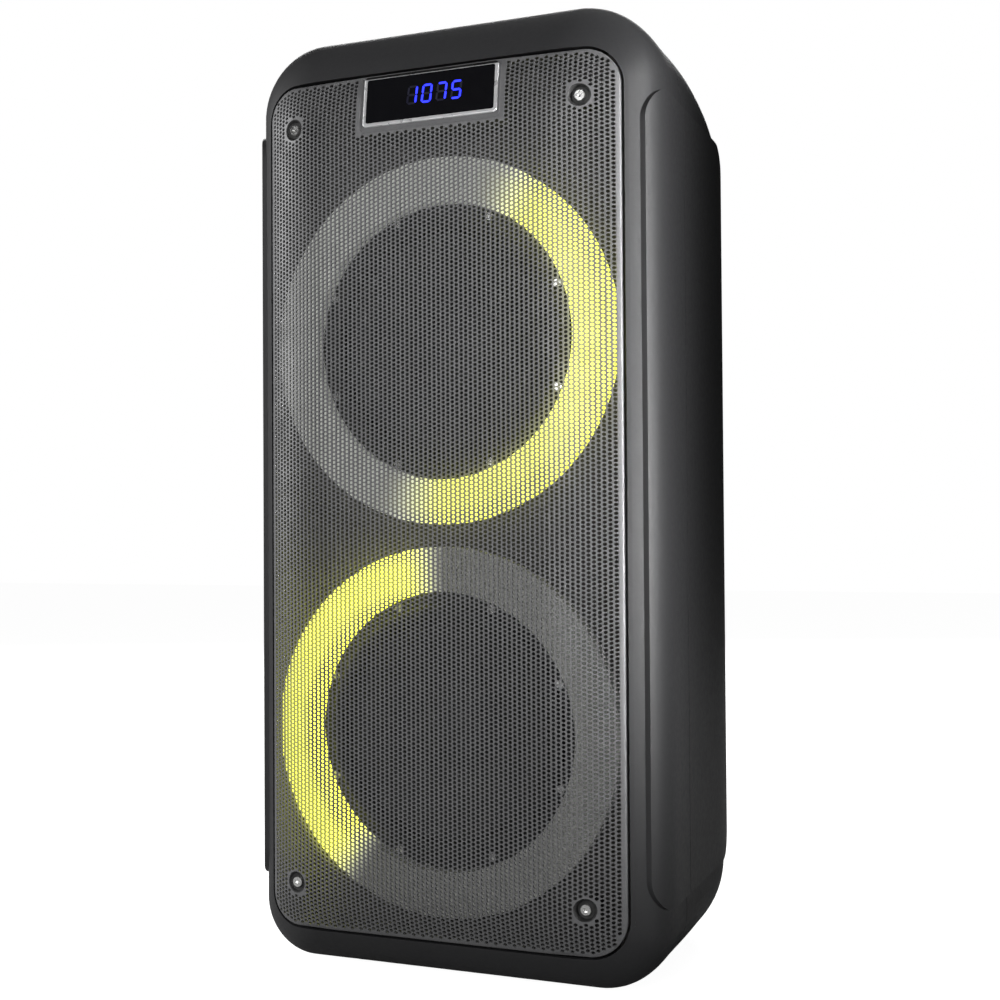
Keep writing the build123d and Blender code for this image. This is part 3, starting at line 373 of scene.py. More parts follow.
def grille_material():
    """Powder-coated steel with a painted glow round its holes where the rings are lit, standing in
    for their light.
    """
    colour = (0.115, 0.115, 0.118)
    made = Finish("grille_coat_and_painted_glow", colour, 0.46, 0.2)
    made.mottle(11, lighter(colour, 1.15), 0.35, 0.75)
    made.mottle(800, lighter(colour, 0.8), 0.5, 0.66, 0.5)
    made.vary_gloss(60, 0.4, 0.54)
    made.grain(1900, 0.01 * MM)
    # painted glow: emission on the sheet inside each ring's lit part, in that ring's colour
    glow = None
    for side in RINGS:
        lit, _, (across, up) = lit_part(made, side)
        radius = made.maths(
            "SQRT",
            made.maths(
                "ADD", made.maths("MULTIPLY", across, across), made.maths("MULTIPLY", up, up)
            ),
        )
        outer = made.spread(radius, RINGS[side][1] - 4 * MM, RINGS[side][1] - 12 * MM)
        inner = made.spread(radius, RING_INNER - 3 * MM, RING_INNER + 5 * MM)
        band = made.maths("MULTIPLY", made.maths("MULTIPLY", outer, inner), lit)
        tinted = made.node("Mix", data_type="RGBA")
        made.join(band, tinted.inputs["Factor"])
        tinted.inputs["A"].default_value = (0, 0, 0, 1)
        tinted.inputs["B"].default_value = (*GLOW[side], 1)
        if glow:
            both = made.node("Mix", data_type="RGBA", blend_type="ADD")
            both.inputs["Factor"].default_value = 1.0
            made.join(glow, both.inputs["A"])
            made.join(tinted.outputs["Result"], both.inputs["B"])
            glow = both.outputs["Result"]
        else:
            glow = tinted.outputs["Result"]
    made.join(glow, made.shader.inputs["Emission Color"])
    made.shader.inputs["Emission Strength"].default_value = PAINTED_GLOW_POWER
    return made.done()


def window_material():
    """Smoked acrylic: dark and glossy, with faint dust."""
    made = Finish("display_window", (0.004, 0.004, 0.005), 0.14)
    made.shader.inputs["Specular IOR Level"].default_value = 0.3
    made.mottle(300, (0.009, 0.009, 0.01), 0.6, 0.8, 0.4)
    made.vary_gloss(120, 0.1, 0.2)
    made.grain(90, 0.01 * MM)
    return made.done()


def lamp_material(name, colour, power):
    """A display segment that glows by its own power."""
    made = Finish(name, lighter(colour, 0.3), 0.4)
    made.shader.inputs["Emission Color"].default_value = (*colour, 1)
    made.shader.inputs["Emission Strength"].default_value = power
    made.mottle(900, lighter(colour, 0.2), 0.4, 0.7)
    made.vary_gloss(200, 0.3, 0.5)
    return made.done()


def board_material(name, colour, copper):
    """Solder mask with traces just under it."""
    made = Finish(name, colour, 0.35)
    made.mottle(30, lighter(colour, 1.4), 0.4, 0.7, 0.6)
    tracks = made.node("TexBrick")
    tracks.inputs["Scale"].default_value = 160
    tracks.inputs["Mortar Size"].default_value = 0.06
    made.join(made.place, tracks.inputs["Vector"])
    made.blend_colour(made.spread(tracks.outputs["Fac"], 0.0, 1.0, 0.0, 0.5), copper)
    made.vary_gloss(200, 0.28, 0.45)
    made.grain(800, 0.01 * MM)
    return made.done()


def fibreboard_material():
    made = Finish("baffle_board", (0.03, 0.028, 0.026), 0.75)
    made.mottle(500, (0.055, 0.05, 0.045), 0.45, 0.7, 0.7)
    made.mottle(7, (0.022, 0.021, 0.02), 0.4, 0.8)
    made.vary_gloss(40, 0.7, 0.85)
    made.grain(1300, 0.06 * MM, 5.0).grain(160, 0.05 * MM)
    return made.done()


def pulp_material():
    """Pressed paper: random fibres and slight mottling."""
    made = Finish("cone_paper", (0.02, 0.02, 0.021), 0.82)
    fibres = made.noise(420, 6.0, made.stretched((1.0, 1.0, 0.25)), 0.7)
    made.blend_colour(made.spread(fibres, 0.5, 0.75, 0.0, 0.6), (0.05, 0.05, 0.05))
    made.mottle(24, (0.014, 0.014, 0.014), 0.4, 0.7)
    made.vary_gloss(60, 0.74, 0.9)
    made.relief(fibres, 0.08 * MM)
    return made.done()


def cloth_material():
    """Resin-dipped woven cloth."""
    made = Finish("spider_cloth", (0.42, 0.30, 0.12), 0.8)
    across = made.waves(420, wave_type="BANDS", bands_direction="X")
    along = made.waves(420, wave_type="BANDS", bands_direction="Z")
    weave = made.maths("MAXIMUM", across, along)
    made.blend_colour(made.spread(weave, 0.2, 0.9, 0.0, 0.5), (0.2, 0.13, 0.05))
    made.mottle(60, (0.3, 0.2, 0.08), 0.4, 0.7, 0.6)
    made.vary_gloss(100, 0.7, 0.9)
    made.relief(weave, 0.1 * MM)
    return made.done()


def ferrite_material():
    made = Finish("magnet_ferrite", (0.05, 0.05, 0.052), 0.5, 0.3)
    made.mottle(240, (0.09, 0.09, 0.092), 0.5, 0.8, 0.7)
    made.vary_gloss(60, 0.4, 0.62)
    made.grain(600, 0.05 * MM, 5.0)
    # lighter edges: partly chipped wear, partly a painted highlight
    made.wear_and_edge_highlight((0.14, 0.14, 0.14), 1 * MM)
    return made.done()


def copper_material():
    """Enamelled wire, wound close."""
    made = Finish("coil_copper", (0.55, 0.22, 0.07), 0.3, 0.9)
    turns = made.waves(900, wave_type="BANDS", bands_direction="Y")
    # darker in the grooves between the turns: painted shade
    made.blend_colour(made.spread(turns, 0.0, 0.4, 0.7, 0.0), (0.2, 0.07, 0.02))
    made.mottle(200, (0.45, 0.17, 0.05), 0.4, 0.7)
    made.vary_gloss(200, 0.25, 0.4)
    made.relief(turns, 0.1 * MM)
    return made.done()


def housing_material():
    """Black moulding whose front edge is painted silver at the sides and below the window."""
    low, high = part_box("display_housing")
    made = Finish("trim_silver", (0.72, 0.72, 0.73), 0.3, 0.6)
    lines = made.noise(60, 3.0, made.stretched((1.0, 30.0, 30.0)))
    made.blend_colour(made.spread(lines, 0.4, 0.7, 0.0, 0.4), (0.5, 0.5, 0.51))
    parts = made.node("SeparateXYZ")
    made.join(made.place, parts.inputs[0])
    slope = math.tan(TILT)
    lean = made.maths("MULTIPLY", made.maths("SUBTRACT", parts.outputs["Z"], high.z), slope)
    behind = made.maths("SUBTRACT", made.maths("SUBTRACT", parts.outputs["Y"], low.y), lean)
    rise = slope * (high.z - low.z)
    deep = made.spread(behind, rise + 1.2 * MM, rise + 1.5 * MM)
    top = made.spread(parts.outputs["Z"], high.z - 2.2 * MM, high.z - 1.9 * MM)
    made.blend_colour(made.maths("MAXIMUM", deep, top), (0.012, 0.012, 0.012))
    made.vary_gloss(140, 0.24, 0.38)
    made.relief(lines, 0.01 * MM)
    return made.done()


BODY_COLOUR = (0.021, 0.021, 0.0222)
MATERIALS = {
    "body_plastic": moulded("body_plastic", BODY_COLOUR),
    "side_plastic": moulded("side_plastic", lighter(BODY_COLOUR, 0.93), 0.5, 1700, 0.02 * MM),
    "grille_steel": grille_material(),
    "screw_steel": plated("screw_steel", (0.80, 0.80, 0.79), 0.25),
    "trim_silver": housing_material(),
    "display_window": window_material(),
    "circuit_board": board_material("circuit_board", (0.012, 0.09, 0.035), (0.05, 0.2, 0.07)),
    "ring_board": board_material("ring_board", (0.6, 0.6, 0.57), (0.7, 0.66, 0.5)),
    "baffle_board": fibreboard_material(),
    "heat_sink": plated("heat_sink", (0.06, 0.06, 0.065), 0.45, 900),
    "battery_case": moulded("battery_case", (0.02, 0.03, 0.07), 0.3, 300, 0.05 * MM),
    "lead_cover": rubbery("lead_cover", (0.3, 0.012, 0.01)),
    "terminal_brass": plated("terminal_brass", (0.72, 0.5, 0.22), 0.3),
    "panel_plastic": moulded("panel_plastic", (0.017, 0.017, 0.018), 0.5, 2000, 0.03 * MM),
    "knob_plastic": moulded("knob_plastic", (0.022, 0.022, 0.023), 0.42, 1800, 0.015 * MM),
    "jack_metal": plated("jack_metal", (0.7, 0.68, 0.62), 0.22),
    "socket_plastic": moulded("socket_plastic", (0.012, 0.012, 0.012), 0.25, 2400, 0.01 * MM),
    "port_plastic": moulded("port_plastic", (0.016, 0.016, 0.016), 0.4, 1700, 0.02 * MM),
    "handle_plastic": moulded("handle_plastic", (0.026, 0.026, 0.027), 0.6, 900, 0.06 * MM),
    "foot_rubber": rubbery("foot_rubber", (0.012, 0.012, 0.012)),
    "button_rubber": rubbery("button_rubber", (0.028, 0.028, 0.029)),
    "basket_steel": painted_sheet("basket_steel", (0.014, 0.014, 0.014)),
    "magnet_ferrite": ferrite_material(),
    "plate_steel": plated("plate_steel", (0.55, 0.53, 0.48), 0.38),
    "coil_copper": copper_material(),
    "cone_paper": pulp_material(),
    "surround_rubber": rubbery("surround_rubber", (0.014, 0.014, 0.014)),
    "spider_cloth": cloth_material(),
}
# near-black cups: painted shade in the dimples' recesses
DIMPLE_PAINTED_SHADE = painted_sheet("dimple_painted_shade", (0.012, 0.012, 0.012), 0.6)
PRINT = painted_sheet("legend_print", (0.62, 0.62, 0.6), 0.6)
DIGIT_BLUE = lamp_material("digit_blue", (0.02, 0.03, 1.0), 2.8)
DIGIT_OFF = lamp_material("digit_off", (0.01, 0.01, 0.04), 0.12)

for part in frame["record"]["subparts"]:
    node, slot = part["node"], part["material_slot"]
    shown = frame["nodes"][node]
    side = node.split("_")[0]
    chosen = ring_material(side) if slot == "ring_diffuser" else MATERIALS[slot]
    shown.data.materials.clear()
    shown.data.materials.append(chosen)

# ---- mesh helpers --------------------------------------------------------------------------


def piece(name, vertices, faces, material, slot, body="cabinet", smooth=35):
    """A new mesh piece that rides on a body; smooth is the angle past which edges stay sharp."""
    mesh = bpy.data.meshes.new(name)
    mesh.from_pydata([tuple(point) for point in vertices], [], [tuple(face) for face in faces])
    mesh.validate()
    mesh.update()
    mesh.materials.append(material)
    mesh.shade_smooth()
    mesh.set_sharp_from_angle(angle=math.radians(smooth))
    made = bpy.data.objects.new(name, mesh)
    bpy.context.scene.collection.objects.link(made)
    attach(made, body)
    return made


def arc(centre, radius, start, end, steps):
    """Points along an arc, in degrees, both ends included."""
    turns = [math.radians(start + (end - start) * step / steps) for step in range(steps + 1)]
    return [
        (centre[0] + radius * math.cos(turn), centre[1] + radius * math.sin(turn))
        for turn in turns
    ]


def roll(depth, size):
    """How much of a face roll's reach the surface has gained at a depth."""
    left = np.clip((1 * MM + size[1] - depth) / size[1], 0, 1)
    return size[0] * np.sqrt(1 - left * left)


def outside_body(x, z, depth):
    """Above zero where (x, z) lies outside the body's outline at a depth."""
    side = SIDE_HALF - SIDE_ROLL[0] + roll(depth, SIDE_ROLL)
    gained = roll(depth, TOP_ROLL) / TOP_ROLL[0]
    above = BODY_TOP - TOP_ROLL[0] * (1 - gained)
    below = BODY_BOTTOM + BOTTOM_ROLL[0] - roll(depth, BOTTOM_ROLL)
    upper = z > (BODY_TOP + BODY_BOTTOM) / 2
    corner = FACE_CORNER + (np.where(upper, TOP_CORNER, BOTTOM_CORNER) - FACE_CORNER) * gained
    dx = np.abs(x) - (side - corner)
    dz = np.where(upper, z - above, below - z) + corner
    both = np.hypot(np.maximum(dx, 0), np.maximum(dz, 0))
    return both - corner


def face_y(x, z):
    """Where the body's rounded front lies at (x, z)."""
    x, z = np.asarray(x, float), np.asarray(z, float)
    near, far = np.full(x.shape, 1 * MM), np.full(x.shape, 1 * MM + SIDE_ROLL[1])
    for _ in range(24):
        middle = (near + far) / 2
        out = outside_body(x, z, middle) > 0
        near, far = np.where(out, middle, near), np.where(out, far, middle)
    return FRONT_Y + (near + far) / 2


def face_normal(x, z):
    """The front surface's normal, pointing out."""
    step = 0.5 * MM
    slope_x = (face_y(x + step, z) - face_y(x - step, z)) / (2 * step)
    slope_z = (face_y(x, z + step) - face_y(x, z - step)) / (2 * step)
    normal = np.stack([slope_x, -np.ones_like(slope_x), slope_z], -1)
    return normal / np.linalg.norm(normal, axis=-1, keepdims=True)


# ---- perforated grille ---------------------------------------------------------------------

trim_low, trim_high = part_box("display_housing")
NOTCH_HALF = trim_high.x + NOTCH_GAP
NOTCH_LEVEL = trim_low.z - NOTCH_GAP
SCREW_X = 111.5 * MM
SCREW_RISE = 278 * MM
SCREWS = [
    (x, GRILLE_MIDDLE + rise) for x in (-SCREW_X, SCREW_X) for rise in (-SCREW_RISE, SCREW_RISE)
]


def grille_loop(inset):
    """The grille's outline, moved inwards, with the notch for the display in its top edge."""
    half, corner = GRILLE_HALF - inset, GRILLE_CORNER - inset
    low, high = GRILLE_BOTTOM + inset, GRILLE_TOP - inset
    notch, floor = NOTCH_HALF + inset, NOTCH_LEVEL - inset
    loop = arc((half - corner, low + corner), corner, -90, 0, 10)
    loop += [(half, low + (high - low) * step / 60) for step in range(4, 57)]
    loop += arc((half - corner, high - corner), corner, 0, 90, 10)
    loop += [(notch + 1.5 * MM, high), (notch, high - 1.5 * MM), (notch, (high + floor) / 2)]
    loop += arc((notch - NOTCH_CORNER, floor + NOTCH_CORNER), NOTCH_CORNER, 0, -90, 5)
    loop += [(notch * share, floor) for share in (0.6, 0.3, 0, -0.3, -0.6)]
    loop += arc((NOTCH_CORNER - notch, floor + NOTCH_CORNER), NOTCH_CORNER, -90, -180, 5)
    loop += [(-notch, (high + floor) / 2), (-notch, high - 1.5 * MM), (-notch - 1.5 * MM, high)]
    loop += arc((corner - half, high - corner), corner, 90, 180, 10)
    loop += [(-half, low + (high - low) * step / 60) for step in range(56, 3, -1)]
    loop += arc((corner - half, low + corner), corner, 180, 270, 10)
    loop += [(half * share, low) for share in (-0.6, -0.4, -0.2, 0, 0.2, 0.4, 0.6)]
    return loop


def hole_centres():
    """Staggered upright columns of holes, clear of the edges, the notch and the dimples."""
    found = []
    for step in range(-40, 41):
        x = step * COLUMN
        for row in range(-105, 106):
            z = GRILLE_MIDDLE + (row + 0.5 * (step % 2)) * HOLE_PITCH
            half, corner = GRILLE_HALF - HOLE_MARGIN, GRILLE_CORNER - HOLE_MARGIN
            dx = abs(x) - half + corner
            dz = abs(z - GRILLE_MIDDLE) - (GRILLE_TOP - GRILLE_MIDDLE - HOLE_MARGIN) + corner
            if math.hypot(max(dx, 0), max(dz, 0)) > corner:
                continue
            if abs(x) < NOTCH_HALF + HOLE_MARGIN and z > NOTCH_LEVEL - HOLE_MARGIN:
                continue
            nearest = min(math.hypot(x - sx, z - sz) for sx, sz in SCREWS)
            if nearest < DIMPLE_RADIUS + DIMPLE_GAP:
                continue
            found.append((x, z))
    return found


SHEET_PIECES = ("lower", "middle", "upper")


def perforated_sheet():
    """Front, back and every hole's walls, as closed pieces, one above the other."""
    edge_drops = ((0.0, 0.7 * MM), (0.35 * MM, 0.2 * MM), (1.0 * MM, 0.0))
    points, edges, drops, owner = [], [], [], []

    def add_loop(loop, drop=0.0, hole=-1):
        start = len(points)
        count = len(loop)
        points.extend(loop)
        drops.extend([drop] * count)
        owner.extend([hole] * count)
        edges.extend([(start + k, start + (k + 1) % count) for k in range(count)])
        return list(range(start, start + count))

    outline = add_loop(grille_loop(edge_drops[0][0]), edge_drops[0][1])
    for inset, drop in edge_drops[1:]:
        add_loop(grille_loop(inset), drop)
    centres = hole_centres()
    holes = []
    for index, centre in enumerate(SCREWS):
        add_loop(arc(centre, DIMPLE_RADIUS, 0, 345, 23), 0.0, index)
        holes.append(centre)
    for centre in centres:
        add_loop([(centre[0] + x * MM, centre[1] + z * MM) for x, z in HOLE], 0.0, len(holes))
        holes.append(centre)

    flat = [Vector(point) for point in points]
    found, _, triangles, *_ = delaunay_2d_cdt(flat, edges, [outline], 1, 1e-7, False)
    spots = KDTree(len(points))
    for index, point in enumerate(points):
        spots.insert((*point, 0), index)
    spots.balance()
    source = np.array([spots.find((*point, 0))[1] for point in found])
    flat = np.array([tuple(point) for point in found])
    drop, hole = np.array(drops)[source], np.array(owner)[source]
    triangles = np.array(triangles)
    owners = hole[triangles]
    inside = (owners[:, 0] >= 0) & (owners == owners[:, :1]).all(1)
    triangles = triangles[~inside]
    x, z = flat[:, 0], flat[:, 1]
    normal = face_normal(x, z)
    front = np.stack([x, face_y(x, z) + drop, z], -1)
    back = front - normal * SHEET
    count = len(front)
    share = (flat[triangles].mean(1)[:, 1] - GRILLE_BOTTOM) / (GRILLE_TOP - GRILLE_BOTTOM)
    band = np.minimum((share * len(SHEET_PIECES)).astype(int), len(SHEET_PIECES) - 1)
    pieces = []
    for index, name in enumerate(SHEET_PIECES):
        chosen = triangles[band == index]
        corners = front[chosen]
        facing = np.cross(corners[:, 1] - corners[:, 0], corners[:, 2] - corners[:, 0])[:, 1]
        chosen[facing > 0] = chosen[facing > 0][:, ::-1]
        seen = set()
        for a, b, c in chosen:
            seen.update(((a, b), (b, c), (c, a)))
        walls = [(b, a, a + count, b + count) for a, b in seen if (b, a) not in seen]
        faces = np.concatenate([chosen, chosen[:, ::-1] + count])
        used = np.unique(faces)
        fresh = np.zeros(2 * count, int)
        fresh[used] = np.arange(len(used))
        shape = np.concatenate([front, back])[used]
        listed = fresh[faces].tolist() + [[int(fresh[k]) for k in wall] for wall in sorted(walls)]
        pieces.append(
            piece(f"grille_sheet_{name}", shape, listed, MATERIALS["grille_steel"], "grille_steel")
        )
    return pieces


def grille_rim():
    """The sheet's edge, turned back into the bezel's gap."""
    outer, inner = grille_loop(0.0), grille_loop(1.2 * MM)
    count = len(outer)
    rings = []
    for loop, start in ((outer, 0.7 * MM), (inner, 0.7 * MM)):
        x, z = np.array(loop).T
        front = np.minimum(face_y(x, z) + start, GRILLE_BACK - 1 * MM)
        rings.append(np.stack([x, front, z], -1))
        rings.append(np.stack([x, np.full(count, GRILLE_BACK), z], -1))
    order = [rings[0], rings[1], rings[3], rings[2]]
    faces = []
    for level in range(4):
        for k in range(count):
            after = (k + 1) % count
            a, b = level * count, (level + 1) % 4 * count
            faces.append((a + k, a + after, b + after, b + k))
    return piece(
        "grille_rim", np.concatenate(order), faces, MATERIALS["grille_steel"], "grille_steel"
    )


def grille_dimples():
    """Pressed cups that let the screws' heads lie below the sheet."""
    profile = [  # radius, depth from the sheet (0) to the cup's floor (1)
        (8.0, 0.0), (7.6, 0.05), (7.2, 0.2), (6.9, 0.5), (6.6, 0.85), (6.2, 0.97), (5.7, 1.0),
        (2.3, 1.0), (2.3, 1.18), (6.2, 1.18), (7.6, 0.9), (8.0, 0.3),
    ]
    steps = 24
    vertices, faces = [], []
    for centre in SCREWS:
        start = len(vertices)
        for radius, share in profile:
            ring = arc(centre, radius * MM, 0, 360 - 360 / steps, steps - 1)
            for x, z in ring:
                top = float(face_y(x, z))
                floor = FRONT_Y + DIMPLE_DEPTH
                vertices.append((x, top + (floor - top) * share, z))
        rows = len(profile)
        for row in range(rows):
            for k in range(steps):
                a, b = start + row * steps, start + (row + 1) % rows * steps
                after = (k + 1) % steps
                faces.append((a + k, b + k, b + after, a + after))
    # the cups are coloured near-black as painted shade
    return piece("grille_dimples", vertices, faces, DIMPLE_PAINTED_SHADE, "grille_steel")


for sheet in [*perforated_sheet(), grille_rim(), grille_dimples()]:
    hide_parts("grille")

# ---- display's digits ----------------------------------------------------------------------

window_low, window_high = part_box("display_window")
WINDOW_HALF = 16.3 * MM  # half the height of its face
DIGIT_DEPTHS = (-0.12 * MM, 0.2 * MM)  # front and back of a bar, behind the window's face
DIGIT_LEFT = -13.5 * MM
DIGIT_PITCH = 11.5 * MM
DIGIT_HEIGHT = 12.5 * MM
DIGIT_RAISE = 1 * MM
SEGMENTS = {  # which of the seven bars each digit lights, from the top clockwise, middle last
    "0": "abcdef", "1": "bc", "5": "acdfg", "7": "abc", "8": "abcdefg",
}


def on_display(across, up, back):
    """A point on the display, from its middle: across, up its face and behind it."""
    along = Vector((0, math.sin(TILT), math.cos(TILT)))
    down = Vector((0, along.y, -along.z))
    middle = Vector((0, window_low.y, window_high.z)) + down * WINDOW_HALF
    away = Vector((0, math.cos(TILT), -math.sin(TILT)))
    return middle + Vector((across, 0, 0)) + along * up + away * back


def bar(centre, length, width, upright, lean):
    """A digit's bar: six-sided, pointed at both ends, leaning with the digit."""
    half, side = length / 2, width / 2
    flat = [(-half, 0), (side - half, side), (half - side, side), (half, 0),
            (half - side, -side), (side - half, -side)]
    if upright:
        flat = [(y, x) for x, y in reversed(flat)]
    return [(centre[0] + x + (centre[1] + y) * lean, centre[1] + y) for x, y in flat]


def digits(text, left, pitch, height):
    """Lit and unlit bars of a row of digits, as two pieces."""
    width, thick, lean = height * 0.52, height * 0.12, 0.08
    spots = {
        "a": ((0, height / 2), False), "d": ((0, -height / 2), False), "g": ((0, 0), False),
        "b": ((width / 2, height / 4), True), "c": ((width / 2, -height / 4), True),
        "e": ((-width / 2, -height / 4), True), "f": ((-width / 2, height / 4), True),
    }
    meshes = {True: ([], []), False: ([], [])}
    for index, figure in enumerate(text):
        middle = left + index * pitch
        for name, ((x, y), upright) in spots.items():
            length = (height / 2 if upright else width) - 0.4 * MM
            outline = bar((x, y), length, thick, upright, lean)
            vertices, faces = meshes[name in SEGMENTS[figure]]
            start = len(vertices)
            for back in DIGIT_DEPTHS:
                vertices += [
                    on_display(middle + px, py + DIGIT_RAISE, back) for px, py in outline
                ]
            faces.append([start + k for k in range(5, -1, -1)])
            faces.append([start + 6 + k for k in range(6)])
            for k in range(6):
                after = (k + 1) % 6
                faces.append((start + k, start + after, start + 6 + after, start + 6 + k))
    piece("digits_lit", *meshes[True], DIGIT_BLUE, "display_window")
    piece("digits_off", *meshes[False], DIGIT_OFF, "display_window")


digits("1075", DIGIT_LEFT, DIGIT_PITCH, DIGIT_HEIGHT)

# ---- woofer surrounds, between the basket and the cone -------------------------------------

SECTORS = 16
ROLL_MIDDLE = 85.5 * MM
ROLL_RADIUS = 6.5 * MM
SURROUND_RIM = 98.6 * MM  # glued to the basket here
SURROUND_LIP = 77 * MM  # and to the cone here
SURROUND_FACE = 26.5 * MM  # depths
SURROUND_BACK = 27.5 * MM


def surround_profile():
    """Closed half section of the surround, as (radius, depth)."""
    face, back = SURROUND_FACE, SURROUND_BACK
    outer = [(SURROUND_RIM, face)]
    outer += [
        (ROLL_MIDDLE + ROLL_RADIUS * math.cos(turn), face - ROLL_RADIUS * math.sin(turn))
        for turn in np.linspace(0.05, math.pi - 0.05, 13)
    ]
    inner = [(SURROUND_LIP, face), (SURROUND_LIP, back)]
    inner += [
        (ROLL_MIDDLE + (ROLL_RADIUS - 1 * MM) * math.cos(turn),
         back - (ROLL_RADIUS - 0.6 * MM) * math.sin(turn))
        for turn in np.linspace(math.pi - 0.05, 0.05, 13)
    ]
    return outer + inner + [(SURROUND_RIM, back)]


def surround_sector(side, index):
    """One slice of the roll, bent along its own middle line so that all slices still meet."""
    level = RINGS[side][0]
    profile = surround_profile()
    rows, steps = len(profile), 4
    span = 2 * math.pi / SECTORS
    vertices, faces = [], []
    for step in range(steps + 1):
        turn = (index + step / steps - 0.5) * span
        for radius, depth in profile:
            vertices.append(
                (radius * math.sin(turn), FRONT_Y + depth, level + radius * math.cos(turn))
            )
    for step in range(steps):
        for row in range(rows):
            a, b, after = step * rows, (step + 1) * rows, (row + 1) % rows
            faces.append((a + row, b + row, b + after, a + after))
    faces.append(list(range(rows)))
    faces.append([steps * rows + row for row in range(rows - 1, -1, -1)])
    name = f"{side}_surround_{index + 1:02d}"
    made = piece(name, vertices, faces, MATERIALS["surround_rubber"], "surround_rubber")
    made.parent = None
    del made["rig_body"]
    turn = index * span
    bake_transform(made)
    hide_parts(f"{side}_surround")


for side in RINGS:
    for index in range(SECTORS):
        surround_sector(side, index)

# ---- printed marks -------------------------------------------------------------------------


def stroke(points, width):
    """A flat ribbon of one width along points, as one outline."""
    left, right = [], []
    for index, point in enumerate(points):
        before = Vector(points[max(index - 1, 0)])
        after = Vector(points[min(index + 1, len(points) - 1)])
        along = (after - before).normalized()
        aside = Vector((-along.y, along.x)) * width / 2
        left.append(tuple(Vector(point) + aside))
        right.append(tuple(Vector(point) - aside))
    return [(left[k], left[k + 1], right[k + 1], right[k]) for k in range(len(points) - 1)]


PRINT_THICKNESS = 0.06 * MM
PRINT_SINK = 0.02 * MM  # how far a mark's underside lies in the surface


def mark(name, quads, place, body):
    """Printed marks: flat shapes set a hair proud of a surface, each with its own edge."""
    vertices, faces = [], []
    for quad in quads:
        start, count = len(vertices), len(quad)
        vertices += [place(x, y, 0.0) for x, y in quad]
        vertices += [place(x, y, PRINT_THICKNESS) for x, y in quad]
        faces.append([start + k for k in range(count)])
        faces.append([start + count + k for k in range(count - 1, -1, -1)])
        for k in range(count):
            after = (k + 1) % count
            faces.append((start + k, start + count + k, start + count + after, start + after))
    piece(name, vertices, faces, PRINT, "trim_silver", body)


def icon_power():
    return stroke(arc((0, 0), 2.4 * MM, 125, 415, 18), 0.5 * MM) + stroke(
        [(0, 0.4 * MM), (0, 3.1 * MM)], 0.5 * MM
    )


def icon_pairing():
    made = []
    for radius in (1.4 * MM, 2.7 * MM):
        for start in (-38, 142):
            made += stroke(arc((0, 0), radius, start, start + 76, 8), 0.45 * MM)
    return made + [arc((0, 0), 0.6 * MM, 0, 330, 11)]


def icon_light():
    rays = []
    for step in range(8):
        turn = math.radians(45 * step)
        ends = [(r * math.cos(turn), r * math.sin(turn)) for r in (2.0 * MM, 3.1 * MM)]
        rays += stroke(ends, 0.4 * MM)
    return rays + [arc((0, 0), 1.2 * MM, 0, 345, 23)]


def icon_bass():
    heights = (1.6, 3.4, 5.2, 3.8, 2.2)
    bars = []
    for step, height in enumerate(heights):
        x, half = (step - 2) * 1.3 * MM, height / 2 * MM
        bars += stroke([(x, -half), (x, half)], 0.6 * MM)
    return bars


def icon_play():
    triangle = [(-3.0 * MM, -2.1 * MM), (0.6 * MM, 0), (-3.0 * MM, 2.1 * MM)]
    bars = [stroke([(x * MM, -2 * MM), (x * MM, 2 * MM)], 0.6 * MM)[0] for x in (1.8, 3.2)]
    return [triangle, *bars]


def icon_mode():
    ring = stroke(arc((0, 0), 2.3 * MM, 40, 340, 18), 0.45 * MM)
    return ring + [[(1.3 * MM, -0.1 * MM), (3.4 * MM, -0.1 * MM), (2.5 * MM, 1.5 * MM)]]


ICONS = {
    "power": icon_power, "pairing": icon_pairing, "light": icon_light,
    "bass": icon_bass, "play": icon_play, "mode": icon_mode,
}

for name, draw in ICONS.items():
    centre, top = centre_of(f"{name}_button"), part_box(f"{name}_button")[1].z

    def on_button(x, y, up, centre=centre, top=top):
        return (centre.x + x, centre.y + y, top + up - PRINT_SINK)

    mark(f"{name}_mark", draw(), on_button, f"{name}_key")

knob_centre = centre_of("volume_knob")
panel_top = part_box("control_panel")[1].z


def on_panel(x, y, up):
    return (knob_centre.x + x, knob_centre.y + y, panel_top + up - PRINT_SINK)


volume_ticks = []
for step in range(-5, 6):
    turn = math.radians(90 - 27 * step)
    reach = 18.8 if step % 5 else 19.4
    volume_ticks += stroke(
        [(r * MM * math.cos(turn), r * MM * math.sin(turn)) for r in (16.6, reach)], 0.5 * MM
    )
mark("volume_scale", volume_ticks, on_panel, "cabinet")

REAR_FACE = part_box("rear_panel")[1].y


def level_scale(knob):
    """Ticks round a rear knob, which grow longer with the level."""
    centre = centre_of(knob)
    ticks = []
    for step in range(11):
        turn = math.radians(240 - 30 * step)
        reach = (9.6, 10.2 + 0.16 * step)
        ends = [(r * MM * math.cos(turn), r * MM * math.sin(turn)) for r in reach]
        ticks += stroke(ends, 0.5 * MM)

    def on_rear(x, y, out):
        return (centre.x - x, REAR_FACE + out - PRINT_SINK, centre.z + y)

    mark(f"{knob}_scale", ticks, on_rear, "cabinet")


for knob in ("mic_knob", "guitar_knob"):
    level_scale(knob)

# ---- stage, light and camera ---------------------------------------------------------------


def stage_material(name, colour):
    """Pale and even; the glow keeps it as pale as the surroundings out to the horizon."""
    made = Finish(name, colour, 0.8)
    made.mottle(2, lighter(colour, 0.985), 0.4, 0.7)
    made.shader.inputs["Emission Color"].default_value = (1, 1, 1, 1)
    seen = made.node("LightPath").outputs["Is Camera Ray"]
    made.join(made.maths("MULTIPLY", seen, 0.97), made.shader.inputs["Emission Strength"])
    return made.done()


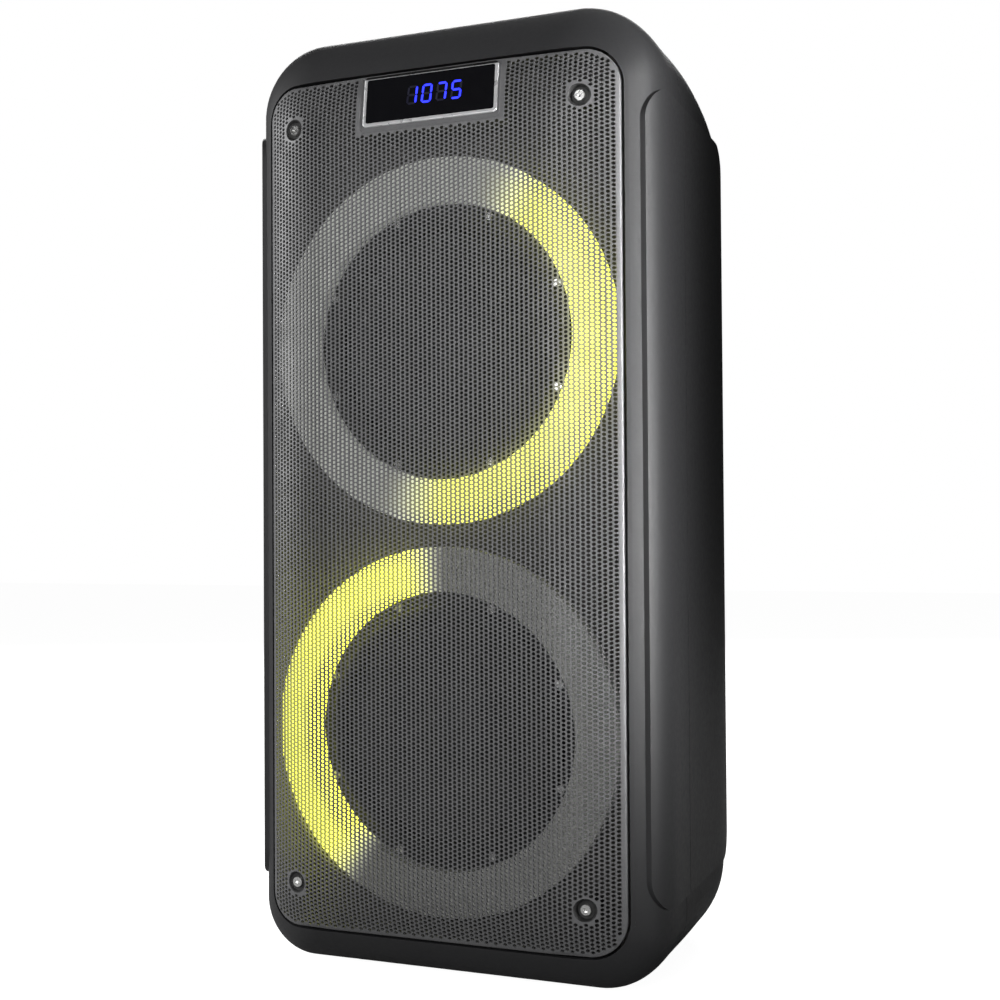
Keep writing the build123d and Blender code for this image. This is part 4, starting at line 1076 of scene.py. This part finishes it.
def floor():
    """A wide pale floor, with its middle under the speaker."""
    half, steps = 6.0, 6
    marks = np.linspace(-half, half, steps + 1)
    vertices = [(x, y, 0.0) for y in marks for x in marks]
    width = steps + 1
    faces = [
        (row * width + k, row * width + k + 1, (row + 1) * width + k + 1, (row + 1) * width + k)
        for row in range(steps)
        for k in range(steps)
    ]
    mesh = bpy.data.meshes.new("floor")
    mesh.from_pydata(vertices, [], faces)
    mesh.materials.append(stage_material("pale_floor", (0.3, 0.3, 0.3)))
    made = bpy.data.objects.new("floor", mesh)
    bpy.context.scene.collection.objects.link(made)


def softbox(name, place, aim, size, power, spread=180):
    """A rectangular lamp that the camera doesn't see; spread is its beam, in degrees."""
    lamp = bpy.data.lights.new(name, "AREA")
    lamp.shape = "RECTANGLE"
    lamp.size, lamp.size_y = size
    lamp.energy = power
    lamp.spread = math.radians(spread)
    made = bpy.data.objects.new(name, lamp)
    made.location = place
    made.visible_camera = False
    made.rotation_mode = "QUATERNION"
    made.rotation_quaternion = (Vector(aim) - Vector(place)).to_track_quat("-Z", "Y")
    bpy.context.scene.collection.objects.link(made)


def world():
    """Plain pale surroundings: white to look at, dimmer as a light."""
    made = bpy.data.worlds.new("studio")
    made.use_nodes = True
    tree = made.node_tree
    shade = tree.nodes["Background"]
    path = tree.nodes.new("ShaderNodeLightPath")
    power = tree.nodes.new("ShaderNodeMapRange")
    power.inputs["To Min"].default_value = 0.03
    power.inputs["To Max"].default_value = 1.0
    tree.links.new(path.outputs["Is Camera Ray"], power.inputs["Value"])
    tree.links.new(power.outputs["Result"], shade.inputs["Strength"])
    shade.inputs["Color"].default_value = (1, 1, 1, 1)
    bpy.context.scene.world = made


def camera():
    """Eye level with the middle of the face, from its right."""
    azimuth, elevation, lean = (math.radians(angle) for angle in (21.68, -1.08, -0.38))
    lens = bpy.data.cameras.new("camera")
    lens.lens = 51.0
    lens.sensor_width = 36.0
    made = bpy.data.objects.new("camera", lens)
    forward = Vector((
        -math.sin(azimuth) * math.cos(elevation),
        math.cos(azimuth) * math.cos(elevation),
        -math.sin(elevation),
    ))
    made.location = (0.416, -1.0572, 0.3284)
    made.rotation_mode = "QUATERNION"
    turned = forward.to_track_quat("-Z", "Y")
    made.rotation_quaternion = turned @ Quaternion((0, 0, 1), lean)
    bpy.context.scene.collection.objects.link(made)
    bpy.context.scene.camera = made


MIDDLE = (0, 0, 0.35)
floor()
world()
softbox("key", (0.1, -1.4, 0.62), (0, 0, 0.56), (0.9, 0.5), 12.5)
softbox("strip", (0.85, -0.19, 0.50), (0.15, -0.21, 0.50), (0.12, 0.66), 2.1, 38)
softbox("fill", (-1.9, -0.6, 0.9), MIDDLE, (0.8, 1.2), 28)
softbox("top", (0, 0.6, 2.4), MIDDLE, (1.6, 1.6), 4)
softbox("back", (-0.8, 2.0, 1.5), MIDDLE, (1.6, 1.6), 70)
camera()
bpy.context.scene.view_settings.view_transform = "Standard"
